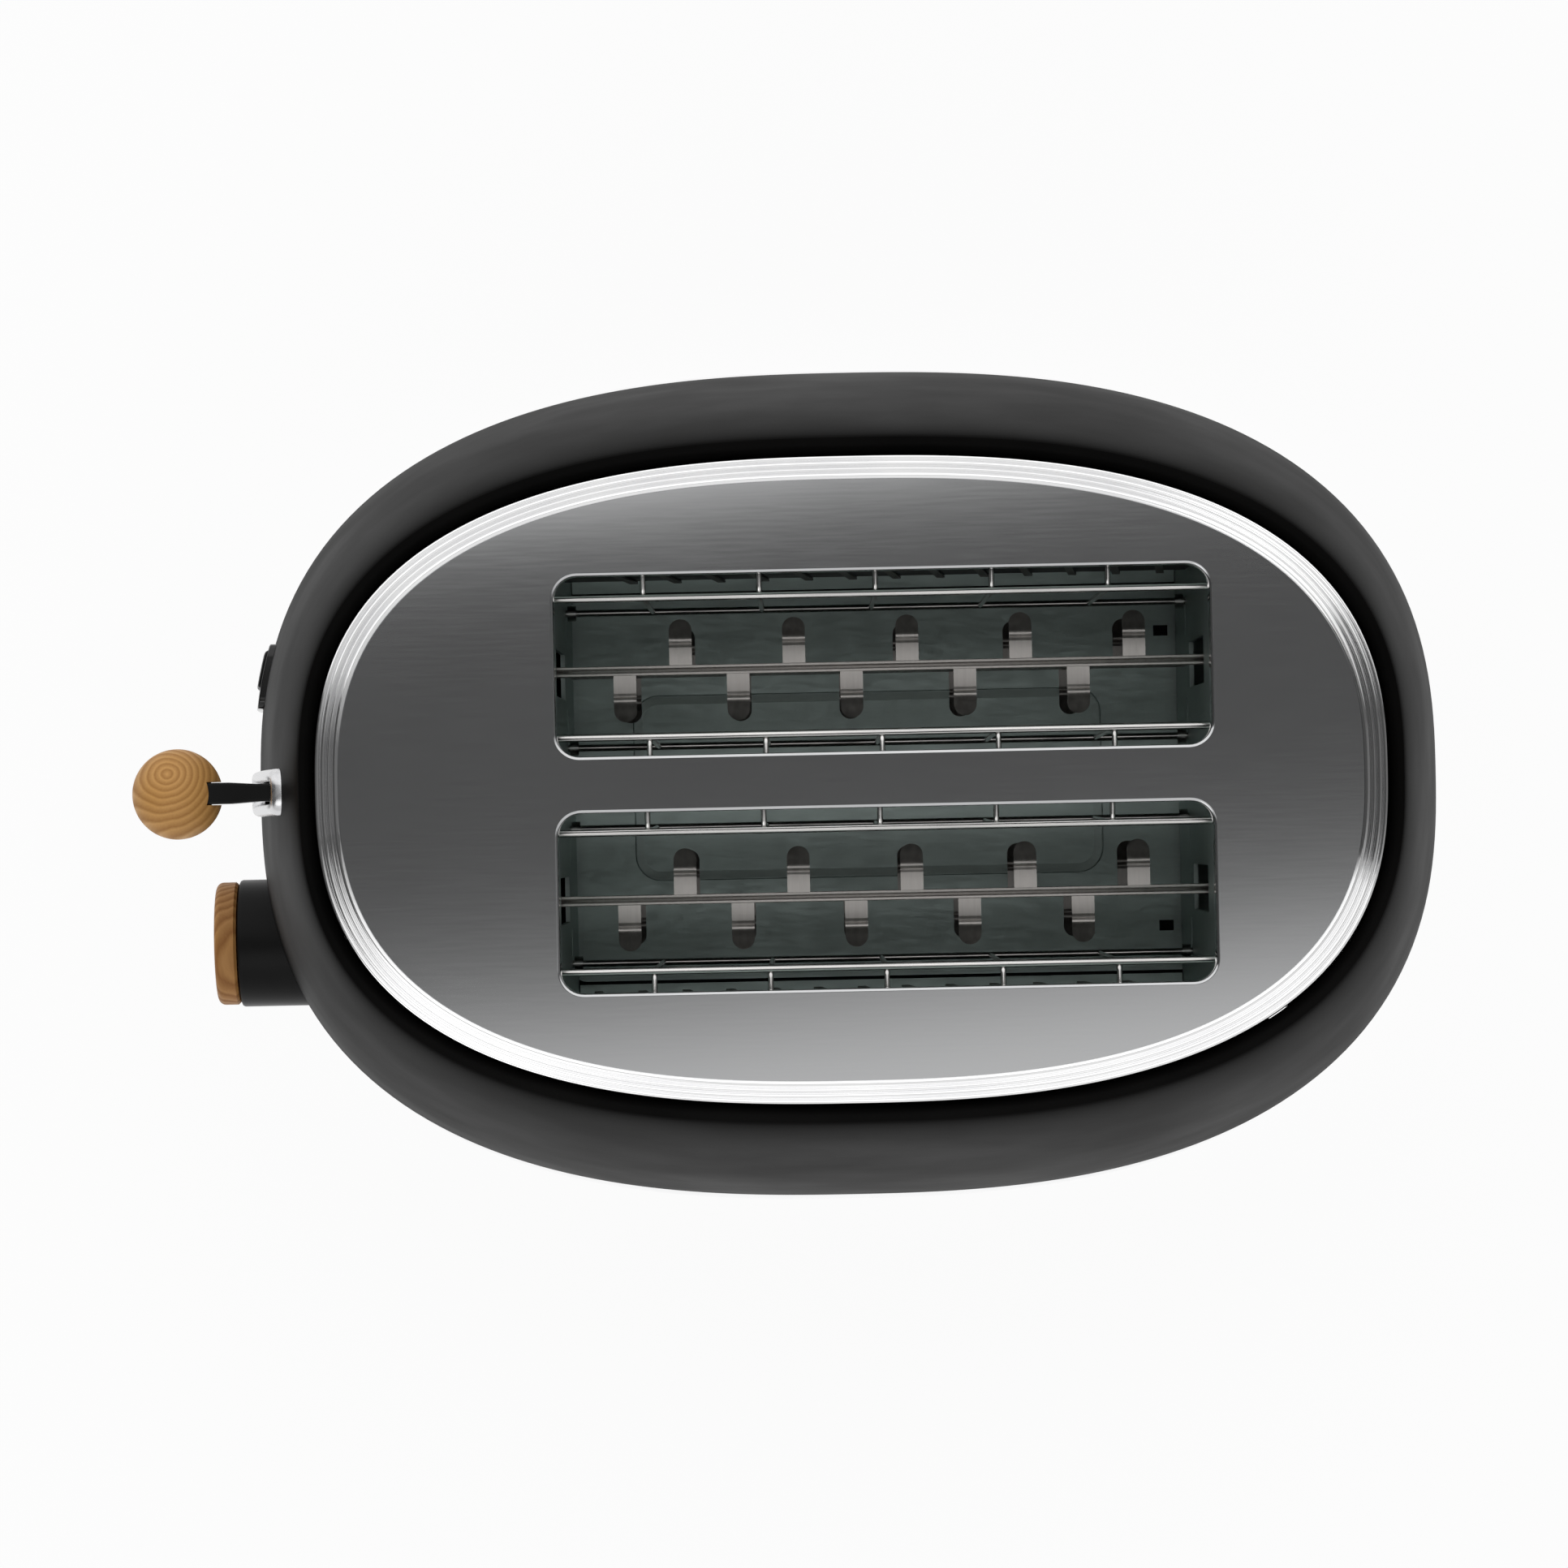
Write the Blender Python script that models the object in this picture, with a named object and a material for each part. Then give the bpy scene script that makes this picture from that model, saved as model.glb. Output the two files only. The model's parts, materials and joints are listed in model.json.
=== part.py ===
# A two-slot toaster. The lever, the knob and the push buttons are at the -X end,
# and +Z is up. Lengths are in metres. Heights are measured from the table, and
# plan positions from the middle of the oval body.

import math

import bmesh
import bpy
from mathutils import Vector

# Clearances
seat_gap = 0.0003
run_gap = 0.0005
overrun = 0.003
merge_distance = 0.000001

# Counts and outline powers
outline_points = 60
shoulder_rings = 9
inner_rings = 5
oval_power = 2.58
shoulder_power = 1.35

# Body shell
body_height = 0.190
belly_height = 0.045
belly_half_length = 0.1358
belly_half_width = 0.0954
crest_inset_x = 0.0182
crest_inset_y = 0.0226
foot_tuck = 0.0007
shell_wall = 0.0022
lip_drop = 0.0045
lip_edge = 0.0015
lip_back = 0.0016
lip_round = 0.0009

# Feet
foot_height = 0.0053
foot_radius = 0.0082
foot_tread_radius = 0.0066
foot_chamfer = 0.0010
foot_x_share = 0.64857
foot_y_share = 0.60738

# Base band and moulded base
band_proud_x = 0.0025
band_proud_y = 0.0035
band_height = 0.0104
band_tuck = 0.0020
band_shoulder = 0.0012
base_floor = 0.0030
base_wall = 0.0020
base_wall_height = 0.0154
vent_length_share = 0.7547
vent_width = 0.0045
vent_pitch_share = 0.19985
vents_per_row = 6
vent_row_share = 0.6345
rail_width = 0.0015
rail_height = 0.0045
board_rib = 0.0015
board_rib_height = 0.0055

# Top plate and its slots
plate_sink = 0.0040
plate_thickness = 0.0010
slot_end_margin = 0.0444
slot_side_margin = 0.02455
slot_corner = 0.0050
slot_web = 0.0121
slot_shift = 0.0072
rim_depth = 0.0060
rim_wall = 0.0008

# Trim ring
trim_inset_x = 0.0032
trim_inset_y = 0.0037
trim_width = 0.0050
trim_skirt = 0.0012
trim_skirt_depth = 0.0025
trim_bead_height = 0.0024
trim_ridge_height = 0.0019
trim_groove_height = 0.0013
trim_edge_height = 0.0004
trim_bead_side = 0.0008
trim_gap = 0.0004

# Toasting chamber
chamber_margin = 0.0005
end_plate_thickness = 0.0010
end_plate_leg = 0.0050
end_plate_margin = 0.0012
end_plate_clearance = 0.0042
lift_slot_width = 0.0104
reflector_gap = 0.0041
reflector_thickness = 0.0008
reflector_flange = 0.0050
reflector_foot_height = 0.0200
reflector_foot_gap = 0.0006

# Heaters
board_thickness = 0.0008
heater_board_top_depth = 0.0260
heater_board_rise = 0.0080
outer_board_gap = 0.0027
ribbon_width = 0.0018
ribbon_thickness = 0.0004
ribbon_turns = 13
ribbon_margin = 0.0060

# Bread guides
wire_radius = 0.0006
rod_radius = 0.0008
guide_side_gap = 0.00425
guide_travel_share = 0.43333
guide_hook = 0.0055
guide_bend = 0.0020
guide_top_depth = 0.0200
guide_bottom_depth = 0.1240
guide_end = 0.0006
guide_wire_count = 5
guide_pitch_share = 0.1793
guide_wire_shift = 0.0066
wire_sides = 6
rod_sides = 8

# Bread lifts
lift_depth = 0.0530
lift_width = 0.0018
lift_web_height = 0.0085
lift_sheet = 0.0006
lift_groove = 0.0030
lift_tail = 0.0030
tab_count = 5
tab_pitch_share = 0.1786
tab_width = 0.0050
tab_guide_gap = 0.0035
tab_crease_share = 0.5714
tab_tip_share = 0.1524
tab_drop = 0.0022
tab_sheet = 0.0009
tab_sink = 0.0002
tab_root = 0.0002
tab_shift = 0.0071
tab_stagger_share = 0.496

# Lever, carriage and guide rod
lever_travel_share = 0.252632
lever_depth = 0.0260
arm_thickness = 0.0038
arm_height = 0.0128
arm_head_thickness = 0.0046
arm_head_length = 0.0060
arm_head_step = 0.0020
arm_side_gap = 0.0007
arm_end_gap = 0.0015
ball_gap = 0.0020
ball_radius = 0.0098
ball_socket = 0.0020
ball_rings = 12
ball_segments = 24
carriage_setback = 0.0044
carriage_sheet = 0.0015
carriage_side = 0.0058
carriage_drop = 0.0130
carriage_height = 0.0170
spine_thickness = 0.0024
spine_reach = 0.0240
rod_reach = 0.0190
rod_side_share = 0.43478
guide_rod_radius = 0.0025
guide_rod_sides = 16
bush_wall = 0.0024
bush_height = 0.0480
bush_drop = 0.0020
rod_tail = 0.0040
flange_reach = 0.0274
flange_margin = 0.0060
flange_thickness = 0.0012
flange_top_depth = 0.0085
flange_bottom = 0.0300

# Return spring
spring_radius = 0.0031
spring_wire = 0.0008
spring_turns = 10
spring_turn_points = 8

# Electromagnet, armature and switch
ear_reach = 0.0310
ear_share = 0.47431
armature_thickness = 0.0020
armature_length = 0.0090
armature_margin = 0.0010
core_depth = 0.0090
core_height = 0.0220
core_yoke = 0.0040
core_limb_share = 0.27273
coil_clearance = 0.0003
coil_wall = 0.0020
coil_height = 0.0130
switch_depth = 0.0120
switch_width = 0.0100
switch_height = 0.0210

# Circuit board
board_setback = 0.0302
circuit_thickness = 0.0016
circuit_left = 0.0400
circuit_right = 0.0520
circuit_margin = 0.0056
tact_size = 0.0060
tact_depth = 0.0036
tact_plunger_radius = 0.0016
tact_plunger = 0.0012

# Knob
knob_side = 0.0340
knob_height_share = 0.31579
knob_radius = 0.0146
knob_stand = 0.0046
knob_length = 0.0194
knob_wall = 0.0018
knob_face = 0.0030
knob_hub_radius = 0.0055
knob_bore_depth = 0.0140
knob_gap = 0.0007
cap_radius = 0.0141
cap_thickness = 0.0051
cap_round = 0.0016
knob_shaft_radius = 0.0030
pot_radius = 0.0085
pot_depth = 0.0085
pot_neck_radius = 0.0040
pot_neck = 0.0030
round_sides = 32
small_round_sides = 20

# Escutcheon and button panel
escutcheon_border = 0.0025
escutcheon_proud = 0.0023
bezel_side = 0.0267
bezel_width = 0.0146
bezel_low_share = 0.21053
bezel_height_share = 0.27368
bezel_corner = 0.0022
bezel_proud = 0.0014
bezel_thickness = 0.0011
button_width = 0.0084
button_border = 0.0014
button_proud = 0.0020
button_gap = 0.0004
button_corner = 0.0012
button_depth = 0.0050
button_spacing = 0.0018
button_travel = 0.0015
button_play = 0.0006
stem_radius = 0.0020

# Crumb tray
tray_side_margin = 0.00095
tray_front_reach = 0.0014
tray_rear_setback = 0.0151
tray_sheet = 0.0008
tray_lip = 0.0030
tray_corner = 0.0030
emboss_length_share = 0.792857
emboss_width_share = 0.4835
emboss_corner = 0.0060
emboss_height = 0.0005
emboss_rim = 0.0022
handle_half_width = 0.0200
handle_height = 0.0040

# Cord gland
gland_x_share = 0.75415
gland_radius = 0.0050
gland_flange_radius = 0.0065
gland_bore_radius = 0.0035
gland_flange = 0.0020

# Body shell's shape, which other sizes follow

crest_half_length = belly_half_length - crest_inset_x
crest_half_width = belly_half_width - crest_inset_y
shell_foot_half_length = belly_half_length - foot_tuck
shell_foot_half_width = belly_half_width - foot_tuck
base_low = foot_height + seat_gap
band_top = base_low + band_height
shell_foot_height = band_top + seat_gap


def shell_half_sizes(height, wall=0.0):
    """Half length and half width of the shell at a height, on the outside or a wall inside it."""
    if height < belly_height:
        tuck = ((belly_height - height) / (belly_height - shell_foot_height)) ** 2
        return (
            belly_half_length - wall - tuck * foot_tuck,
            belly_half_width - wall - tuck * foot_tuck,
        )
    rise = min((height - belly_height) / (body_height - wall - belly_height), 1.0)
    swell = (1.0 - rise**shoulder_power) ** (1 / shoulder_power)
    return (
        crest_half_length + swell * (belly_half_length - wall - crest_half_length),
        crest_half_width + swell * (belly_half_width - wall - crest_half_width),
    )


# Sizes that follow from those above
base_floor_top = base_low + base_floor
base_wall_top = base_floor_top + base_wall_height
base_half_length = shell_foot_half_length - shell_wall - seat_gap
base_half_width = shell_foot_half_width - shell_wall - seat_gap
foot_reach_x = base_half_length * foot_x_share
foot_reach_y = base_half_width * foot_y_share
vent_pitch = base_half_length * vent_pitch_share
vent_length = vent_pitch * vent_length_share
vent_row_y = base_half_width * vent_row_share
gland_x = base_half_length * gland_x_share
band_half_length = shell_foot_half_length + band_proud_x
band_half_width = shell_foot_half_width + band_proud_y
plate_top = body_height - plate_sink
plate_low = plate_top - plate_thickness
trim_half_length = crest_half_length - trim_inset_x
trim_half_width = crest_half_width - trim_inset_y
slot_length = 2 * (trim_half_length - slot_end_margin)
slot_width = trim_half_width - slot_side_margin - slot_web / 2
slot_side = (slot_web + slot_width) / 2
outer_board_y = slot_side + slot_width / 2 + outer_board_gap + board_thickness / 2
reflector_y = outer_board_y + board_thickness / 2 + reflector_gap
end_plate_half_width = reflector_y + reflector_thickness + end_plate_margin
chamber_front = slot_shift - slot_length / 2 - rim_wall - chamber_margin
chamber_rear = slot_shift + slot_length / 2 + rim_wall + chamber_margin
chamber_top = plate_low - seat_gap
tray_half_width = slot_side + slot_width / 2 + tray_side_margin
gland_y = -(tray_half_width + run_gap + rail_width + seat_gap + gland_flange_radius)
tray_front = -chamber_front + tray_front_reach
tray_rear = shell_foot_half_length - tray_rear_setback
emboss_length = slot_length * emboss_length_share
emboss_width = 2 * tray_half_width * emboss_width_share
tray_low = base_floor_top + seat_gap
tray_floor_top = tray_low + tray_sheet
tray_top = tray_floor_top + tray_lip
end_plate_low = tray_top + end_plate_clearance
front_face = chamber_front - end_plate_thickness
rear_face = chamber_rear + end_plate_thickness
lift_top = plate_top - lift_depth
lever_travel = body_height * lever_travel_share
guide_offset = slot_width / 2 - guide_side_gap
guide_travel = guide_offset * guide_travel_share
guide_wire_pitch = slot_length * guide_pitch_share
tab_pitch = slot_length * tab_pitch_share
tab_stagger = tab_pitch * tab_stagger_share
tab_reach = guide_offset - tab_guide_gap
tab_crease = tab_reach * tab_crease_share
tab_tip = tab_reach * tab_tip_share
guide_top = plate_top - guide_top_depth
guide_bottom = plate_top - guide_bottom_depth
heater_board_low = guide_bottom + heater_board_rise
heater_board_height = plate_top - heater_board_top_depth - heater_board_low
cross_plate_rear = front_face - carriage_setback
cross_plate_front = cross_plate_rear - carriage_sheet
guide_rod_x = front_face - rod_reach
spine_front = cross_plate_front - spine_reach
lever_height = plate_top - lever_depth
arm_top = lever_height + arm_height / 2
arm_low = lever_height - arm_height / 2
slot_gate_top = arm_top + arm_end_gap
slot_gate_low = arm_low - lever_travel - arm_end_gap
gate_half_width = arm_thickness / 2 + arm_side_gap
carriage_low = lift_top - carriage_drop
carriage_half_width = slot_side + lift_width / 2 + carriage_side
ear_low = carriage_low
ear_outer = carriage_half_width
ear_width = slot_side * ear_share
ear_inner = ear_outer - ear_width
armature_width = ear_width - armature_margin
core_limb = armature_width * core_limb_share
rod_side = slot_side * rod_side_share
flange_half_width = rod_side + flange_margin
flange_top = plate_top - flange_top_depth
board_front_x = belly_half_length - board_setback
board_rear_x = -board_front_x + circuit_thickness
bezel_low = body_height * bezel_low_share
bezel_height = body_height * bezel_height_share
button_pitch = (bezel_height - 2 * button_border + button_spacing) / 3
button_height = button_pitch - button_spacing
top_button_height = bezel_low + bezel_height - button_border - button_height / 2
circuit_top = top_button_height + tact_size / 2 + circuit_margin
circuit_height = circuit_top - base_floor_top - seat_gap
knob_height = body_height * knob_height_share
knob_front = belly_half_length + knob_stand
knob_back = knob_front - knob_length
gate_half_length = shell_half_sizes(slot_gate_low)[0]
ball_reach = gate_half_length + escutcheon_proud + ball_gap + ball_radius
front_reach = ball_reach + ball_radius
body_x = (front_reach - band_half_length) / 2


# Materials

def material(name, colour, roughness, metallic=0.0):
    made = bpy.data.materials.new(name)
    made.use_nodes = True
    shader = made.node_tree.nodes["Principled BSDF"]
    shader.inputs["Base Color"].default_value = (*colour, 1.0)
    shader.inputs["Roughness"].default_value = roughness
    shader.inputs["Metallic"].default_value = metallic
    made.diffuse_color = (*colour, 1.0)
    return made


# Outlines, each a list of points going anticlockwise

def oval(half_length, half_width):
    """Points of the body's oval, a superellipse."""
    points = []
    for step in range(outline_points):
        angle = 2 * math.pi * step / outline_points
        across = math.copysign(abs(math.cos(angle)) ** (2 / oval_power), math.cos(angle))
        along = math.copysign(abs(math.sin(angle)) ** (2 / oval_power), math.sin(angle))
        points.append((half_length * across, half_width * along))
    return points


def oval_ring(half_length, half_width, height):
    return [Vector((x, y, height)) for x, y in oval(half_length, half_width)]


def rounded_rectangle(centre, size, radius, steps=3):
    points = []
    for quarter, (side_x, side_y) in enumerate([(1, 1), (-1, 1), (-1, -1), (1, -1)]):
        middle_x = centre[0] + side_x * (size[0] / 2 - radius)
        middle_y = centre[1] + side_y * (size[1] / 2 - radius)
        for step in range(steps + 1):
            angle = math.pi / 2 * (quarter + step / steps)
            points.append((middle_x + radius * math.cos(angle), middle_y + radius * math.sin(angle)))
    return points


def rectangle(low, high):
    return [low, (high[0], low[1]), high, (low[0], high[1])]


def circle(centre, radius, sides):
    turn = 2 * math.pi / sides
    return [
        (centre[0] + radius * math.cos(turn * step), centre[1] + radius * math.sin(turn * step))
        for step in range(sides)
    ]


# Meshes. Each function adds one closed shape to the mesh that it is given.

def add_loft(mesh, rings, closed=False):
    """Skin over rings of equal length. A closed loft joins the last ring to the first."""
    loops = [[mesh.verts.new(point) for point in ring] for ring in rings]
    faces = []
    pairs = list(zip(loops, loops[1:]))
    if closed:
        pairs.append((loops[-1], loops[0]))
    for lower, upper in pairs:
        for here in range(len(lower)):
            after = (here + 1) % len(lower)
            faces.append(mesh.faces.new((lower[here], lower[after], upper[after], upper[here])))
    if not closed:
        faces.append(mesh.faces.new(list(reversed(loops[0]))))
        faces.append(mesh.faces.new(loops[-1]))
    bmesh.ops.recalc_face_normals(mesh, faces=faces)


def add_prism(mesh, outline, low, high, axis="Z"):
    """Outline pushed along an axis. It holds (x, y) for Z, (y, z) for X and (x, z) for Y."""
    def corner(point, along):
        if axis == "Z":
            return Vector((point[0], point[1], along))
        if axis == "X":
            return Vector((along, point[0], point[1]))
        return Vector((point[0], along, point[1]))

    add_loft(mesh, [[corner(point, along) for point in outline] for along in (low, high)])


def add_box(mesh, low, high):
    add_prism(mesh, rectangle(low[:2], high[:2]), low[2], high[2])


def add_turned(mesh, profile, sides, closed=False):
    """Profile of (radius, height) points turned about Z. An open one starts and ends on the axis."""
    points = [mesh.verts.new((radius, 0, height)) for radius, height in profile]
    edges = [mesh.edges.new(pair) for pair in zip(points, points[1:])]
    if closed:
        edges.append(mesh.edges.new((points[-1], points[0])))
    bmesh.ops.spin(
        mesh, geom=points + edges, cent=(0, 0, 0), axis=(0, 0, 1),
        angle=2 * math.pi, steps=sides, use_merge=True,
    )
    bmesh.ops.remove_doubles(mesh, verts=mesh.verts, dist=merge_distance)
    bmesh.ops.recalc_face_normals(mesh, faces=mesh.faces)


def add_tube(mesh, path, radius, sides):
    """Round bar along a path that stays in one plane square to X, or runs along X."""
    rings = []
    for index, point in enumerate(path):
        before = path[max(index - 1, 0)]
        after = path[min(index + 1, len(path) - 1)]
        ahead = (Vector(after) - Vector(before)).normalized()
        side = Vector((1, 0, 0)) if abs(ahead.x) < 0.5 else Vector((0, 1, 0))
        up = ahead.cross(side)
        rings.append([
            Vector(point)
            + radius * math.cos(2 * math.pi * step / sides) * side
            + radius * math.sin(2 * math.pi * step / sides) * up
            for step in range(sides)
        ])
    add_loft(mesh, rings)


# Objects

def empty(name, parent=None, place=(0, 0, 0)):
    """Joint axis or root that pieces hang on. Its place is given in the body's frame."""
    made = bpy.data.objects.new(name, None)
    bpy.context.scene.collection.objects.link(made)
    made.parent = parent
    made.location = place
    return made


def finish(name, mesh, finish_material, parent, place=(0, 0, 0), tilt=(0, 0, 0)):
    """Object from a mesh, at a place in the body's frame."""
    data = bpy.data.meshes.new(name)
    mesh.to_mesh(data)
    mesh.free()
    made = bpy.data.objects.new(name, data)
    bpy.context.scene.collection.objects.link(made)
    made.parent = parent
    made.location = Vector(place) - (parent.location if parent.parent else Vector((0, 0, 0)))
    made.rotation_euler = tilt
    if finish_material:
        data.materials.append(finish_material)
        data.shade_smooth()
        data.set_sharp_from_angle(angle=smooth_angle)
    return made


def helper(name, mesh, parent, place=(0, 0, 0), tilt=(0, 0, 0)):
    """Hidden operand of a Boolean."""
    made = finish(name, mesh, None, parent, place, tilt)
    made.hide_render = True
    made.display_type = "WIRE"
    return made


def combine(target, other, operation):
    modifier = target.modifiers.new(operation.title(), "BOOLEAN")
    modifier.operation = operation
    modifier.object = other
    return target


smooth_angle = math.radians(35)
facing_front = (0, -math.pi / 2, 0)

for leftover in list(bpy.data.objects):
    bpy.data.objects.remove(leftover)

matt_black = material("matt_black_paint", (0.022, 0.022, 0.022), 0.55)
black_plastic = material("black_plastic", (0.012, 0.012, 0.012), 0.35)
chrome = material("chrome", (0.80, 0.80, 0.80), 0.08, 1.0)
polished_steel = material("polished_steel", (0.52, 0.53, 0.54), 0.18, 1.0)
chamber_steel = material("chamber_steel", (0.30, 0.33, 0.32), 0.38, 1.0)
satin_silver = material("satin_silver", (0.66, 0.66, 0.67), 0.28, 1.0)
oak = material("oak", (0.48, 0.27, 0.11), 0.50)
rubber = material("rubber", (0.03, 0.03, 0.03), 0.85)
mica = material("mica", (0.52, 0.44, 0.30), 0.60)
ribbon_alloy = material("ribbon_alloy", (0.34, 0.31, 0.29), 0.45, 1.0)
copper = material("copper", (0.72, 0.33, 0.16), 0.35, 1.0)
board_green = material("board_green", (0.05, 0.16, 0.07), 0.50)

toaster = empty("toaster", place=(body_x, 0, 0))
toaster.parent = None


# Body shell

def shell_heights(count, wall=0.0):
    """Heights of the shell's rings from its foot to its crest, closer together near the crest."""
    heights = [shell_foot_height, (shell_foot_height + belly_height) / 2]
    for step in range(count + 1):
        turn = math.sin(math.pi / 2 * step / count) ** (2 / shoulder_power)
        heights.append(belly_height + turn * (body_height - wall - belly_height))
    return heights


def skin_rings(proud, heights):
    """Rings that lie a distance outside the shell."""
    rings = []
    for height in heights:
        half_length, half_width = shell_half_sizes(height)
        rings.append(oval_ring(half_length + proud, half_width + proud, height))
    return rings


def outer_shell():
    lip_half_length = trim_half_length + trim_gap
    lip_half_width = trim_half_width + trim_gap
    rings = [oval_ring(*shell_half_sizes(height), height) for height in shell_heights(shoulder_rings)]
    rings.append(oval_ring(
        crest_half_length - lip_round, crest_half_width - lip_round, body_height - lip_round / 2
    ))
    lip_low = body_height - lip_drop
    rings.append(oval_ring(lip_half_length, lip_half_width, lip_low))
    rings.append(oval_ring(lip_half_length, lip_half_width, lip_low - lip_edge))
    rings.append(oval_ring(lip_half_length + lip_back, lip_half_width + lip_back, lip_low - lip_edge))
    for height in reversed(shell_heights(inner_rings, shell_wall)):
        rings.append(oval_ring(*shell_half_sizes(height, shell_wall), height))
    mesh = bmesh.new()
    add_loft(mesh, rings, closed=True)
    shell = finish("outer_shell", mesh, matt_black, toaster)

    openings = bmesh.new()
    front = -belly_half_length - overrun
    add_prism(
        openings,
        rectangle((-gate_half_width, slot_gate_low), (gate_half_width, slot_gate_top)),
        front, -crest_half_length, "X",
    )
    add_prism(
        openings, circle((-knob_side, knob_height), knob_radius + knob_gap, round_sides),
        front, -crest_half_length, "X",
    )
    width = button_width + 2 * button_border
    add_prism(
        openings,
        rectangle(
            (button_side - width / 2, bezel_low + button_border),
            (button_side + width / 2, bezel_low + bezel_height - button_border),
        ),
        front, -crest_half_length, "X",
    )
    combine(shell, helper("shell_openings", openings, toaster), "DIFFERENCE")


# The buttons take the outer part of the panel, and the rest of it stays plain.
button_side = bezel_side + bezel_width / 2 - button_border - button_width / 2


# Base band, moulded base, feet and cord gland

# Where the band's rounded outside passes, as shares of its tuck or shoulder and of its height
band_tuck_shares = [(1.0, 0.0), (0.25, 0.2), (0.0, 0.4)]
band_shoulder_shares = [(0.33, 0.75), (1.0, 1.0)]


def band_rings():
    inner_half_length = shell_foot_half_length - shell_wall
    inner_half_width = shell_foot_half_width - shell_wall
    profile = [
        (inset_share * band_tuck, base_low + height_share * band_height)
        for inset_share, height_share in band_tuck_shares
    ] + [
        (inset_share * band_shoulder, base_low + height_share * band_height)
        for inset_share, height_share in band_shoulder_shares
    ]
    rings = [
        oval_ring(band_half_length - inset, band_half_width - inset, height)
        for inset, height in profile
    ]
    rings.append(oval_ring(inner_half_length, inner_half_width, band_top))
    rings.append(oval_ring(inner_half_length, inner_half_width, base_low))
    return rings


def base_band():
    mesh = bmesh.new()
    add_loft(mesh, band_rings(), closed=True)
    band = finish("base_band", mesh, chrome, toaster)
    notch = bmesh.new()
    half_width = tray_half_width + run_gap
    add_box(
        notch, (0, -half_width, base_floor_top),
        (band_half_length + overrun, half_width, band_top + overrun),
    )
    combine(band, helper("band_notch", notch, toaster), "DIFFERENCE")


def base_plate():
    inner_half_length = base_half_length - base_wall
    inner_half_width = base_half_width - base_wall
    mesh = bmesh.new()
    add_loft(mesh, [
        oval_ring(base_half_length, base_half_width, base_low),
        oval_ring(base_half_length, base_half_width, base_wall_top),
        oval_ring(inner_half_length, inner_half_width, base_wall_top),
        oval_ring(inner_half_length, inner_half_width, base_floor_top),
    ])
    base = finish("base_plate", mesh, black_plastic, toaster)

    sunk = base_floor / 2
    ribs = bmesh.new()
    rail_inner = tray_half_width + run_gap
    for side in (-1, 1):
        low_y, high_y = sorted((side * rail_inner, side * (rail_inner + rail_width)))
        add_box(
            ribs, (-tray_front, low_y, base_floor_top - sunk),
            (tray_rear, high_y, base_floor_top + rail_height),
        )
    board_faces = (-board_front_x - seat_gap - board_rib, board_rear_x + seat_gap)
    for face in board_faces:
        add_box(
            ribs, (face, -circuit_right, base_floor_top - sunk),
            (face + board_rib, circuit_left, base_floor_top + board_rib_height),
        )
    combine(base, helper("base_ribs", ribs, toaster), "UNION")

    cuts = bmesh.new()
    for side in (-1, 1):
        for index in range(vents_per_row):
            middle = (index - (vents_per_row - 1) / 2) * vent_pitch
            outline = rounded_rectangle(
                (middle, side * vent_row_y), (vent_length, vent_width), vent_width / 2 - seat_gap, 2
            )
            add_prism(cuts, outline, base_low - overrun, base_floor_top + overrun)
    add_prism(
        cuts, circle((gland_x, gland_y), gland_radius + seat_gap, small_round_sides),
        base_low - overrun, base_floor_top + overrun,
    )
    half_width = tray_half_width + run_gap
    add_box(
        cuts, (tray_rear - overrun, -half_width, base_floor_top),
        (base_half_length + overrun, half_width, base_wall_top + overrun),
    )
    combine(base, helper("base_cuts", cuts, toaster), "DIFFERENCE")


def feet():
    profile = [
        (0, 0), (foot_tread_radius, 0), (foot_tread_radius + foot_chamfer, foot_chamfer),
        (foot_radius, foot_height), (0, foot_height),
    ]
    for front_or_rear, x in (("front", -foot_reach_x), ("rear", foot_reach_x)):
        for left_or_right, y in (("left", foot_reach_y), ("right", -foot_reach_y)):
            mesh = bmesh.new()
            add_turned(mesh, profile, small_round_sides)
            finish(f"foot_{front_or_rear}_{left_or_right}", mesh, rubber, toaster, (x, y, 0))


def cord_gland():
    top = base_floor_top + seat_gap + gland_flange
    mesh = bmesh.new()
    add_turned(mesh, [
        (gland_bore_radius, base_low), (gland_radius, base_low),
        (gland_radius, base_floor_top + seat_gap),
        (gland_flange_radius, base_floor_top + seat_gap), (gland_flange_radius, top),
        (gland_bore_radius, top),
    ], small_round_sides, closed=True)
    finish("cord_gland", mesh, black_plastic, toaster, (gland_x, gland_y, 0))


# Top plate and trim ring

def slot_outline(side, grown=0.0):
    return rounded_rectangle(
        (slot_shift, side * slot_side),
        (slot_length + 2 * grown, slot_width + 2 * grown), slot_corner + grown,
    )


def top_plate():
    edge = trim_skirt + seat_gap
    mesh = bmesh.new()
    outline = oval(trim_half_length - edge, trim_half_width - edge)
    add_prism(mesh, outline, plate_low, plate_top)
    plate = finish("top_plate", mesh, polished_steel, toaster)
    rims = bmesh.new()
    slots = bmesh.new()
    for side in (-1, 1):
        add_prism(
            rims, slot_outline(side, rim_wall), plate_low - rim_depth,
            plate_top - plate_thickness / 2,
        )
        add_prism(slots, slot_outline(side), plate_low - rim_depth - overrun, plate_top + overrun)
    combine(plate, helper("plate_rims", rims, toaster), "UNION")
    combine(plate, helper("plate_slots", slots, toaster), "DIFFERENCE")


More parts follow.
